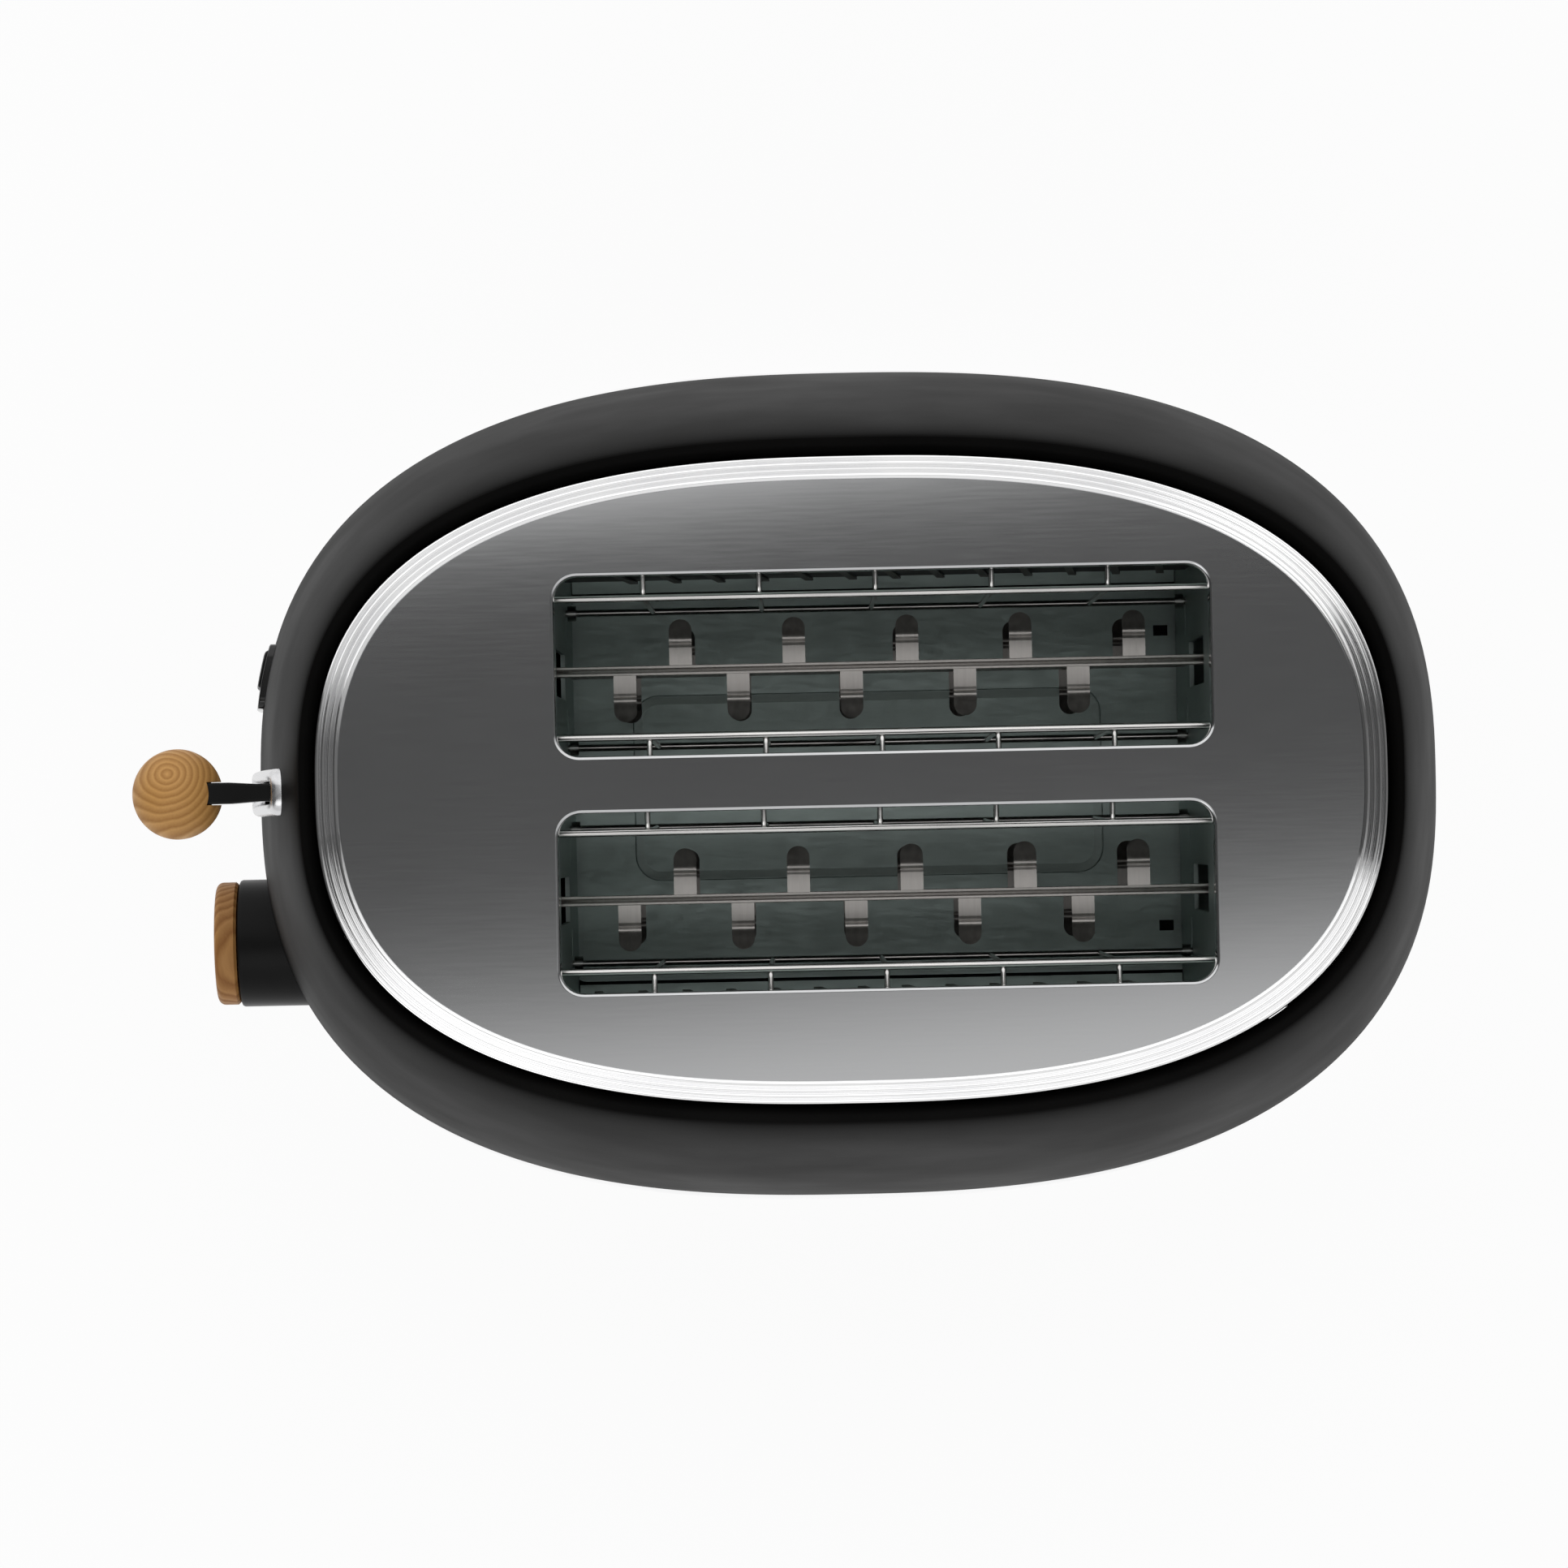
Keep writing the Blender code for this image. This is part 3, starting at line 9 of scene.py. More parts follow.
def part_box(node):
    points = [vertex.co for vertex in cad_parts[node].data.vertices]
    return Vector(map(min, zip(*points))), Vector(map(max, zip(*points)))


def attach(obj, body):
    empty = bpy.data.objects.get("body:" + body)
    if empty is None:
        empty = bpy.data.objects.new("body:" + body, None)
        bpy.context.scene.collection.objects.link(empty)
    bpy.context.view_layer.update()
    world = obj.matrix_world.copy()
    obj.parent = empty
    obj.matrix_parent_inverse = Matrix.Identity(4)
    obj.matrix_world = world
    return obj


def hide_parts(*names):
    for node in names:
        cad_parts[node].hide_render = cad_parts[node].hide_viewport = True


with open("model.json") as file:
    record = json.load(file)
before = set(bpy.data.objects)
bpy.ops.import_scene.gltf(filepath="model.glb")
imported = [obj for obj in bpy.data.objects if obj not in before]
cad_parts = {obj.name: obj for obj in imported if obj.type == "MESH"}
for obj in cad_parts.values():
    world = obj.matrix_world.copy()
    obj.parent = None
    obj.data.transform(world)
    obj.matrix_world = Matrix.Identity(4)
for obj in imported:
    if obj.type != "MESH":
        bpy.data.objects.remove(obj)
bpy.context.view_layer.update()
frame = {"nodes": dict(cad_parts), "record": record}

shellLow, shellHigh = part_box("outer_shell")
plateLow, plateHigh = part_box("top_plate")
bodyX = (shellLow.x + shellHigh.x) / 2
plateTop = plateHigh.z

# The oval housing, in metres. Heights are above the table.
body = {
    "ovalPower": 2.58,
    "shoulderPower": 1.35,
    "height": shellHigh.z,
    "footHeight": shellLow.z,
    "bellyHeight": 0.045,
    "bellyHalfLength": (shellHigh.x - shellLow.x) / 2,
    "bellyHalfWidth": (shellHigh.y - shellLow.y) / 2,
    "crestHalfLength": 0.1176,
    "crestHalfWidth": 0.0728,
    "footTuck": 0.0007,
    "outlinePoints": 240,
}
slots = {
    "length": 0.140, "width": 0.0385, "corner": 0.0050, "web": 0.0121, "shift": 0.0072,
}
slotY = (slots["web"] + slots["width"]) / 2
slotX = bodyX + slots["shift"]


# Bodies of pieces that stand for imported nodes, and small tools for modelling

def bodyOf(node):
    return next(name for name, nodes in frame["record"]["behaviour"]["bodies"].items() if node in nodes)


def slotOf(node):
    for part in frame["record"]["subparts"]:
        if node in (part.get("node"), part.get("name")):
            return part.get("material_slot")
    return None


def boxOf(node):
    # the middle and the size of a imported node's box
    low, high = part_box(node)
    middle = [(a + b) / 2 for a, b in zip(low, high)]
    return middle, [b - a for a, b in zip(low, high)]


def deselect():
    if bpy.context.mode != "OBJECT":
        bpy.ops.object.mode_set(mode="OBJECT")
    bpy.ops.object.select_all(action="DESELECT")


def only(piece):
    deselect()
    piece.select_set(True)
    bpy.context.view_layer.objects.active = piece


def edit(piece):
    only(piece)
    bpy.ops.object.mode_set(mode="EDIT")
    bpy.ops.mesh.select_all(action="DESELECT")


def selectAll():
    bpy.ops.mesh.select_all(action="SELECT")


def placeInMesh():
    bpy.ops.object.transform_apply(location=True, rotation=True, scale=True)


def pick(piece, mode, test):
    # selects vertices, edges or faces of the piece being edited
    bpy.ops.mesh.select_mode(type=mode)
    mesh = bmesh.from_edit_mesh(piece.data)
    parts = {"VERT": mesh.verts, "EDGE": mesh.edges, "FACE": mesh.faces}[mode]
    for part in parts:
        part.select = bool(test(part))
    mesh.select_flush_mode()
    bmesh.update_edit_mesh(piece.data)


def done(piece, angle=35):
    # back to object mode, with the place in the mesh and crisp edges kept
    only(piece)
    placeInMesh()
    bpy.ops.object.shade_smooth_by_angle(angle=math.radians(angle))
    return piece


def outward(piece):
    edit(piece)
    selectAll()
    bpy.ops.mesh.remove_doubles(threshold=0.000002)
    bpy.ops.mesh.normals_make_consistent(inside=False)
    only(piece)
    return piece


def applyAll(piece):
    only(piece)
    for modifier in list(piece.modifiers):
        bpy.ops.object.modifier_apply(modifier=modifier.name)


def carve(piece, cutters, operation="DIFFERENCE"):
    for cutter in cutters:
        modifier = piece.modifiers.new("carve", "BOOLEAN")
        modifier.operation = operation
        modifier.solver = "EXACT"
        modifier.object = cutter
    applyAll(piece)
    for cutter in cutters:
        bpy.data.objects.remove(cutter)


def roundEdges(piece, width, segments=3, angle=40):
    modifier = piece.modifiers.new("round", "BEVEL")
    modifier.width = width
    modifier.segments = segments
    modifier.limit_method = "ANGLE"
    modifier.angle_limit = math.radians(angle)
    applyAll(piece)


def join(name, pieces):
    deselect()
    for piece in pieces:
        piece.select_set(True)
    bpy.context.view_layer.objects.active = pieces[0]
    if len(pieces) > 1:
        bpy.ops.object.join()
    pieces[0].name = name
    pieces[0].data.name = name
    return pieces[0]


def coat(piece, finish):
    piece.data.materials.clear()
    piece.data.materials.append(finish)
    for face in piece.data.polygons:
        face.material_index = 0
    return piece


def copyOf(piece, place=(0, 0, 0), turn=0.0):
    # a copy with a mesh of its own, turned about the upright axis and moved to its place
    twin = piece.copy()
    twin.data = piece.data.copy()
    bpy.context.scene.collection.objects.link(twin)
    twin.rotation_euler = (0, 0, turn)
    twin.location = place
    only(twin)
    placeInMesh()
    return twin


def settle(piece, name, finish, nodes, angle=35):
    # names a finished piece, gives it its finish and lets it ride where its node rides
    done(piece, angle)
    piece.name = name
    piece.data.name = name
    if finish:
        coat(piece, finish)
    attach(piece, bodyOf(nodes[0]))
    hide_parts(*nodes)
    return piece


def unitOval(count, power, aspect):
    # points at even distances round an oval of half sizes 1 and 1, spaced for its real aspect
    fine = 4000
    trace = []
    for step in range(fine + 1):
        turn = 2 * math.pi * step / fine
        c, s = math.cos(turn), math.sin(turn)
        trace.append((math.copysign(abs(c) ** (2 / power), c), math.copysign(abs(s) ** (2 / power), s)))
    lengths = [0.0]
    for before, after in zip(trace, trace[1:]):
        lengths.append(lengths[-1] + math.hypot((after[0] - before[0]) * aspect, after[1] - before[1]))
    points, place = [], 0
    for step in range(count):
        wanted = lengths[-1] * step / count
        while lengths[place + 1] < wanted:
            place += 1
        points.append(trace[place])
    return points


def growRings(outline, rings, x=0.0, y=0.0, closed=False):
    # an outline ring, extruded upwards and resized ring by ring; each ring is (half length, half width, height)
    deselect()
    bpy.ops.mesh.primitive_circle_add(vertices=len(outline), radius=1, location=(x, y, rings[0][2]))
    piece = bpy.context.object
    for vertex, (u, v) in zip(piece.data.vertices, outline):
        vertex.co = (u * rings[0][0], v * rings[0][1], 0)
    placeInMesh()
    bpy.ops.object.mode_set(mode="EDIT")
    selectAll()
    if not closed:
        bpy.ops.mesh.edge_face_add()
        bpy.ops.mesh.select_mode(type="EDGE")
    for before, after in zip(rings, rings[1:]):
        if closed:
            bpy.ops.mesh.extrude_edges_move(TRANSFORM_OT_translate={"value": (0, 0, after[2] - before[2])})
        else:
            bpy.ops.mesh.extrude_region_move(TRANSFORM_OT_translate={"value": (0, 0, after[2] - before[2])})
        bpy.ops.transform.resize(
            value=(after[0] / before[0], after[1] / before[1], 1), center_override=(x, y, after[2])
        )
    bpy.ops.object.mode_set(mode="OBJECT")
    return outward(piece)


def turned(profile, segments, place):
    # a turned piece that faces -X: rings of (radius, distance along its axis)
    outline = [
        (math.cos(2 * math.pi * step / segments), math.sin(2 * math.pi * step / segments))
        for step in range(segments)
    ]
    piece = growRings(outline, [(radius, radius, along) for radius, along in profile])
    piece.rotation_euler = (0, -math.pi / 2, 0)
    piece.location = place
    return done(piece)


def slab(middle, size, corner=0.0, steps=8, axis="Z"):
    # a plate with rounded corners, extruded through its thickness along the Z or the X axis
    wide, deep, thick = size if axis == "Z" else size[::-1]
    deselect()
    bpy.ops.mesh.primitive_plane_add(size=1)
    piece = bpy.context.object
    piece.scale = (wide, deep, 1)
    bpy.ops.object.transform_apply(location=False, rotation=False, scale=True)
    bpy.ops.object.mode_set(mode="EDIT")
    selectAll()
    if corner:
        bpy.ops.mesh.bevel(offset=corner, segments=steps, affect="VERTICES")
        selectAll()
    bpy.ops.mesh.extrude_region_move(TRANSFORM_OT_translate={"value": (0, 0, thick)})
    selectAll()
    bpy.ops.transform.translate(value=(0, 0, -thick / 2))
    bpy.ops.mesh.normals_make_consistent(inside=False)
    bpy.ops.object.mode_set(mode="OBJECT")
    piece.rotation_euler = (0, 0 if axis == "Z" else math.pi / 2, 0)
    piece.location = middle
    return done(piece)


def tube(path, radius, sides=12):
    # a round bar along a path, made as a bevelled curve and turned into a mesh
    deselect()
    curve = bpy.data.curves.new("bar", "CURVE")
    curve.dimensions = "3D"
    curve.bevel_depth = radius
    curve.bevel_resolution = max(sides // 4 - 1, 0)
    curve.use_fill_caps = True
    line = curve.splines.new("POLY")
    line.points.add(len(path) - 1)
    for point, place in zip(line.points, path):
        point.co = (*place, 1)
    piece = bpy.data.objects.new("bar", curve)
    bpy.context.scene.collection.objects.link(piece)
    only(piece)
    bpy.ops.object.convert(target="MESH")
    return bpy.context.object


def bodyHalfSizes(height, wall=0.0):
    # half length and half width of the housing at a height
    belly, length, width = body["bellyHeight"], body["bellyHalfLength"], body["bellyHalfWidth"]
    if height < belly:
        tuck = body["footTuck"] * ((belly - height) / (belly - body["footHeight"])) ** 2
        return length - wall - tuck, width - wall - tuck
    rise = min((height - belly) / (body["height"] - wall - belly), 1)
    swell = (1 - rise ** body["shoulderPower"]) ** (1 / body["shoulderPower"])
    return (
        body["crestHalfLength"] + swell * (length - wall - body["crestHalfLength"]),
        body["crestHalfWidth"] + swell * (width - wall - body["crestHalfWidth"]),
    )


def frontSkin(y, z):
    # where the housing's front lies at a point seen from the front
    length, width = bodyHalfSizes(z)
    share = min(abs(y) / width, 1)
    return bodyX - length * (1 - share ** body["ovalPower"]) ** (1 / body["ovalPower"])


def wrapToFront(piece):
    # a piece modelled flat, with its outside towards -X from x = 0, is laid on the front skin
    for vertex in piece.data.vertices:
        vertex.co.x += frontSkin(vertex.co.y, vertex.co.z)


def bisectRows(piece, start, end, step, axis="Z"):
    # rows of cuts, so that a flat piece can follow the curved skin
    normal = (0, 1, 0) if axis == "Y" else (0, 0, 1)
    edit(piece)
    count = int((end - start) / step)
    for row in range(1, count):
        along = start + (end - start) * row / count
        selectAll()
        bpy.ops.mesh.bisect(plane_co=tuple(along * part for part in normal), plane_no=normal)
    only(piece)


bodyOutline = unitOval(
    body["outlinePoints"], body["ovalPower"], body["bellyHalfLength"] / body["bellyHalfWidth"]
)
print("scene: frame loaded, tools ready")


# Shared effects, built once as node groups

def addNode(tree, kind, at=(0, 0), feeds=None, **settings):
    # a node whose inputs take plain values or other nodes' outputs
    node = tree.nodes.new(kind)
    node.location = at
    for key, value in settings.items():
        setattr(node, key, value)
    for key, value in (feeds or {}).items():
        if isinstance(value, bpy.types.NodeSocket):
            tree.links.new(value, node.inputs[key])
        else:
            node.inputs[key].default_value = value
    return node


def maths(tree, operation, *values, at=(0, 0)):
    return addNode(tree, "ShaderNodeMath", at, dict(enumerate(values)), operation=operation).outputs[0]


def spread(tree, value, fromLow, fromHigh, toLow=0.0, toHigh=1.0, at=(0, 0), **settings):
    # a value's range laid over another range
    return addNode(tree, "ShaderNodeMapRange", at, {
        "Value": value, "From Min": fromLow, "From Max": fromHigh, "To Min": toLow, "To Max": toHigh,
    }, **settings).outputs["Result"]


def rampOf(tree, share, stops, at=(0, 0)):
    # brightness along a share from 0 to 1, from stops of (share, level)
    node = addNode(tree, "ShaderNodeValToRGB", at, {"Fac": share})
    elements = node.color_ramp.elements
    elements.remove(elements[1])
    for index, (place, level) in enumerate(stops):
        stop = elements[0] if index == 0 else elements.new(place)
        stop.position = place
        stop.color = (level, level, level, 1)
    return node.outputs["Color"]


def noise(tree, vector, scale, detail=2.0, at=(0, 0)):
    return addNode(
        tree, "ShaderNodeTexNoise", at, {"Vector": vector, "Scale": scale, "Detail": detail}
    ).outputs["Fac"]


def objectSpot(tree):
    return addNode(tree, "ShaderNodeTexCoord", (-1100, -200)).outputs["Object"]


def newGroup(name, **inputs):
    # a node group with one input for each value: numbers, vectors of three and colours of four
    group = bpy.data.node_groups.new(name, "ShaderNodeTree")
    kinds = {1: "NodeSocketFloat", 3: "NodeSocketVector", 4: "NodeSocketColor"}
    for label, value in inputs.items():
        size = len(value) if isinstance(value, tuple) else 1
        made = group.interface.new_socket(name=label, in_out="INPUT", socket_type=kinds[size])
        made.default_value = value
    return group, addNode(group, "NodeGroupInput", (-1300, 0)).outputs


def closeGroup(group, **outputs):
    for label in outputs:
        kind = "NodeSocketColor" if label == "Color" else "NodeSocketFloat"
        group.interface.new_socket(name=label, in_out="OUTPUT", socket_type=kind)
    addNode(group, "NodeGroupOutput", (1200, 0), outputs)
    return group


def makeMottle():
    # soft unevenness of a sprayed or moulded surface
    group, start = newGroup("softMottle", Scale=40.0, Detail=4.0, Low=0.4, High=0.6)
    spot = objectSpot(group)
    cloud = noise(group, spot, start["Scale"], start["Detail"], at=(-450, 0))
    fineScale = maths(group, "MULTIPLY", start["Scale"], 30.0, at=(-650, -350))
    fine = noise(group, spot, fineScale, at=(-450, -300))
    value = spread(group, cloud, 0.3, 0.7, start["Low"], start["High"], at=(-200, 0))
    return closeGroup(group, Mask=cloud, Value=value, Height=fine)


def makeBrushed():
    # long fine lines left by a brush, along one way of the piece, over broad patches
    group, start = newGroup("brushedLines", Stretch=(1.0, 1.0, 1.0), Scale=900.0, Low=0.2, High=0.4)
    spot = objectSpot(group)
    stretch = addNode(
        group, "ShaderNodeVectorMath", (-500, -100), {0: spot, 1: start["Stretch"]}, operation="MULTIPLY"
    )
    lines = noise(group, stretch.outputs["Vector"], start["Scale"], at=(-300, 0))
    patches = maths(group, "MULTIPLY", noise(group, spot, 22.0, at=(-300, -300)), 0.3, at=(-150, -300))
    both = maths(group, "MULTIPLY_ADD", lines, 0.7, patches, at=(0, -100))
    value = spread(group, both, 0.35, 0.65, start["Low"], start["High"], at=(200, 0))
    return closeGroup(group, Mask=both, Value=value, Height=lines)


def makeWood():
    # year rings round a tilted axis, with fine pores along the grain
    group, start = newGroup(
        "oakGrain", Middle=(0.0, 0.0, 0.0), Tilt=(0.0, 0.0, 0.0), Rings=120.0, Wander=1.0,
        Early=(0.60, 0.36, 0.16, 1.0), Late=(0.30, 0.14, 0.05, 1.0),
    )
    shift = addNode(group, "ShaderNodeVectorMath", (-900, -100), {
        0: objectSpot(group), 1: start["Middle"],
    }, operation="SUBTRACT")
    turn = addNode(group, "ShaderNodeVectorRotate", (-700, -100), {
        "Vector": shift.outputs["Vector"], "Rotation": start["Tilt"],
    }, rotation_type="EULER_XYZ")
    squeeze = addNode(group, "ShaderNodeVectorMath", (-500, -100), {
        0: turn.outputs["Vector"], 1: (1.0, 1.0, 0.12),
    }, operation="MULTIPLY").outputs["Vector"]
    split = addNode(group, "ShaderNodeSeparateXYZ", (-300, -100), {0: squeeze}).outputs
    squares = [maths(group, "MULTIPLY", split[way], split[way], at=(-150, 0)) for way in ("X", "Y")]
    radius = maths(group, "SQRT", maths(group, "ADD", *squares, at=(0, 0)), at=(100, 0))
    sway = noise(group, squeeze, 90.0, 3.0, at=(-300, -400))
    wobble = maths(group, "MULTIPLY", maths(group, "SUBTRACT", sway, 0.5), start["Wander"], at=(0, -400))
    turns = maths(group, "ADD", maths(group, "MULTIPLY", radius, start["Rings"]), wobble, at=(300, -100))
    year = rampOf(group, maths(group, "FRACT", turns, at=(400, 0)), [(0.0, 0), (0.72, 1), (1.0, 0)], (500, 0))
    pores = noise(group, squeeze, 2600.0, at=(300, -500))
    grain = maths(group, "MULTIPLY", pores, 0.5, at=(500, -500))
    amount = maths(group, "SUBTRACT", maths(group, "ADD", year, grain, at=(700, -200)), 0.25, at=(850, -200))
    blend = addNode(group, "ShaderNodeMix", (1000, 0), {
        0: amount, 6: start["Early"], 7: start["Late"],
    }, data_type="RGBA", clamp_factor=True)
    return closeGroup(group, Color=blend.outputs[2], Mask=amount, Height=pores)


mottleGroup = makeMottle()
brushedGroup = makeBrushed()
woodGroup = makeWood()


def newFinish(name, **values):
    made = bpy.data.materials.new(name)
    made.use_nodes = True
    shader = made.node_tree.nodes["Principled BSDF"].inputs
    for key, value in values.items():
        shader[key.replace("_", " ")].default_value = value
    return made, made.node_tree, shader


def addBump(tree, height, shader, strength, distance):
    bump = addNode(tree, "ShaderNodeBump", (-200, -250), {
        "Height": height, "Strength": strength, "Distance": distance,
    })
    tree.links.new(bump.outputs["Normal"], shader["Normal"])


def worked(name, group, effects, dark, light, bump, distance, **values):
    # tone, roughness and bump of a finish, from one of the shared effects
    made, tree, shader = newFinish(name, **values)
    effect = addNode(tree, "ShaderNodeGroup", (-500, 0), effects, node_tree=group).outputs
    share = spread(tree, effect["Mask"], 0.35, 0.65, at=(-300, 250))
    tone = addNode(tree, "ShaderNodeMix", (-150, 250), {
        0: share, 6: (*dark, 1.0), 7: (*light, 1.0),
    }, data_type="RGBA")
    tree.links.new(tone.outputs[2], shader["Base Color"])
    tree.links.new(effect["Value"], shader["Roughness"])
    if bump:
        addBump(tree, effect["Height"], shader, bump, distance)
    return made


def mottled(name, dark, light, rough, scale, bump=0.0, reflectance=0.5):
    effects = {"Scale": scale, "Detail": 4.0, "Low": rough[0], "High": rough[1]}
    return worked(name, mottleGroup, effects, dark, light, bump, 0.0002, Specular_IOR_Level=reflectance)


def brushed(name, dark, light, rough, stretch, scale, bump=0.0):
    effects = {"Stretch": stretch, "Scale": scale, "Low": rough[0], "High": rough[1]}
    return worked(name, brushedGroup, effects, dark, light, bump, 0.0001, Metallic=1.0)


def wooden(name, middle, tilt, rings, wander, early, late):
    made, tree, shader = newFinish(name, Specular_IOR_Level=0.22)
    effect = addNode(tree, "ShaderNodeGroup", (-500, 0), {
        "Middle": middle, "Tilt": tilt, "Rings": rings, "Wander": wander,
        "Early": (*early, 1.0), "Late": (*late, 1.0),
    }, node_tree=woodGroup).outputs
    tree.links.new(effect["Color"], shader["Base Color"])
    tree.links.new(spread(tree, effect["Mask"], 0.0, 1.0, 0.42, 0.60, at=(-300, -50)), shader["Roughness"])
    addBump(tree, effect["Height"], shader, 0.15, 0.0001)
    return made


# Paints and mouldings: tones, roughness, scale, bump, reflectance. Metals: tones, roughness, stretch, scale, bump
finishes = {
    "matt_black": mottled(
        "mattBlackPaint", (0.0028, 0.0027, 0.0026), (0.0046, 0.0044, 0.0042), (0.44, 0.52), 30.0, 0.05, 0.022),
    "black_plastic": mottled(
        "blackPlastic", (0.005, 0.005, 0.005), (0.008, 0.008, 0.008), (0.30, 0.40), 60.0, 0.04, 0.1),
    "gloss_black": mottled(
        "glossBlackPanel", (0.005, 0.005, 0.005), (0.008, 0.008, 0.008), (0.08, 0.14), 60.0),
    "rubber": mottled(
        "footRubber", (0.018, 0.018, 0.018), (0.030, 0.030, 0.029), (0.75, 0.9), 80.0, 0.1),
    "mica": mottled(
        "micaBoard", (0.060, 0.068, 0.064), (0.095, 0.105, 0.098), (0.35, 0.6), 45.0, 0.05),
    "board_green": mottled("boardGreen", (0.02, 0.10, 0.04), (0.05, 0.16, 0.07), (0.3, 0.5), 70.0),
    "chrome": brushed(
        "chromePlate", (0.93, 0.93, 0.935), (0.97, 0.97, 0.97), (0.03, 0.07), (1.0, 1.0, 1.0), 40.0),
    "polished_steel": brushed(
        "polishedSteel", (0.595, 0.60, 0.606), (0.612, 0.617, 0.622), (0.056, 0.064), (0.05, 1.0, 1.0), 1500.0),
    "wire_steel": brushed(
        "wireSteel", (0.60, 0.59, 0.575), (0.80, 0.79, 0.77), (0.12, 0.22), (0.1, 1.0, 1.0), 500.0),
    "chamber_steel": brushed(
        "chamberSteel", (0.54, 0.64, 0.61), (0.62, 0.72, 0.69), (0.36, 0.48), (0.25, 1.0, 1.0), 900.0, 0.05),
    "tab_steel": brushed(
        "tabSteel", (0.50, 0.475, 0.455), (0.60, 0.575, 0.55), (0.40, 0.50), (1.0, 0.1, 1.0), 900.0, 0.03),
    "satin_silver": brushed(
        "satinSilver", (0.62, 0.62, 0.63), (0.74, 0.74, 0.75), (0.22, 0.30), (1.0, 1.0, 0.1), 800.0),
    "ribbon_alloy": brushed(
        "ribbonAlloy", (0.16, 0.155, 0.15), (0.26, 0.25, 0.24), (0.35, 0.5), (1.0, 1.0, 0.1), 400.0),
    "copper": brushed(
        "copperCoil", (0.50, 0.19, 0.08), (0.72, 0.33, 0.16), (0.25, 0.4), (0.1, 0.1, 1.0), 600.0, 0.3),
}
ballLow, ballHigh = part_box("lever_ball")
ballMiddle = Vector(((ballLow.x + ballHigh.x) / 2, 0, (ballLow.z + ballHigh.z) / 2))
capLow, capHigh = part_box("knob_cap")
capMiddle = (Vector(capLow) + Vector(capHigh)) / 2
finishes["ball_oak"] = wooden(
    "oakBall", (ballMiddle.x - 0.003, 0.0025, ballMiddle.z), (math.radians(12), math.radians(-10), 0.0),
    700.0, 1.2, (0.60, 0.325, 0.105), (0.40, 0.19, 0.053),
)
finishes["cap_oak"] = wooden(
    "oakCap", (capMiddle.x - 0.012, capMiddle.y + 0.03, capMiddle.z - 0.01),
    (math.radians(70), math.radians(10), 0.0), 500.0, 2.0, (0.43, 0.215, 0.068), (0.27, 0.115, 0.032),
)
print("scene: finishes ready")


# Housing: a matt black oval shell with a lip round the top

shell = {
    "wall": 0.0022, "outerRings": 34, "innerRings": 10,
    "lipDrop": 0.0045, "lipEdge": 0.0015, "lipBack": 0.0016, "lipSteps": 6, "lipCurve": 1.6,
    "gateBorder": 0.0026, "gateCorner": 0.0004, "panelLap": 0.0015, "panelCorner": 0.001,
    "knobGap": 0.0007, "wellSegments": 96, "cutDepth": 0.04,
}
trim = {
    "halfLength": 0.1144, "halfWidth": 0.0691, "width": 0.0050, "gap": 0.0004, "skirt": 0.0012,
    "skirtDepth": 0.0035, "groove": 0.00045, "rise": 0.0001, "beadSteps": 6,
    # each bead: where it starts and ends across the ring, and how high it stands above the plate
    "beads": [
        (0.0, 0.00105, 0.0024), (0.00125, 0.00225, 0.0021), (0.00255, 0.00335, 0.0015), (0.0036, 0.0050, 0.0010),
    ],
}


def wallHeights(steps, top):
    # heights from the belly to the top, closer together at the top
    shares = [math.sin(math.pi / 2 * step / steps) ** (2 / body["shoulderPower"]) for step in range(steps + 1)]
    return [body["bellyHeight"] + share * (top - body["bellyHeight"]) for share in shares]


def buildShell():
    foot, top, wall, back = body["footHeight"], body["height"], shell["wall"], shell["lipBack"]
    heights = [foot, (foot + body["bellyHeight"]) / 2] + wallHeights(shell["outerRings"], top)
    rings = [(*bodyHalfSizes(height), height) for height in heights]
    crestLength, crestWidth = body["crestHalfLength"], body["crestHalfWidth"]
    lipLength, lipWidth = trim["halfLength"] + trim["gap"], trim["halfWidth"] + trim["gap"]
    lipLow = top - shell["lipDrop"]
    for step in range(1, shell["lipSteps"] + 1):
        share = step / shell["lipSteps"]
        rings.append((
            crestLength + share * (lipLength - crestLength), crestWidth + share * (lipWidth - crestWidth),
            top + share ** shell["lipCurve"] * (lipLow - top),
        ))
    lipLow -= shell["lipEdge"]
    rings += [(lipLength, lipWidth, lipLow), (lipLength + back, lipWidth + back, lipLow)]
    heights = [*reversed(wallHeights(shell["innerRings"], top - wall)), foot]
    rings += [(*bodyHalfSizes(height, wall), height) for height in heights] + rings[:1]
    piece = growRings(bodyOutline, rings, x=bodyX, closed=True)

    front, deep = bodyX - body["bellyHalfLength"], shell["cutDepth"]
    cuts = []
    for node, border, corner, steps in (
        ("lever_escutcheon", shell["gateBorder"], shell["gateCorner"], 2),
        ("button_bezel", shell["panelLap"], shell["panelCorner"], 3),
    ):
        middle, size = boxOf(node)
        cuts.append(slab(
            (front, *middle[1:]), (1.5 * deep, size[1] - 2 * border, size[2] - 2 * border), corner, steps, "X",
        ))
    middle, size = boxOf("knob_barrel")
    radius = size[1] / 2 + shell["knobGap"]
    cuts.append(turned([(radius, -deep / 2), (radius, deep / 2)], shell["wellSegments"], (front, *middle[1:])))
    carve(piece, cuts)
    settle(piece, "housingShell", finishes["matt_black"], ["outer_shell"], 28)


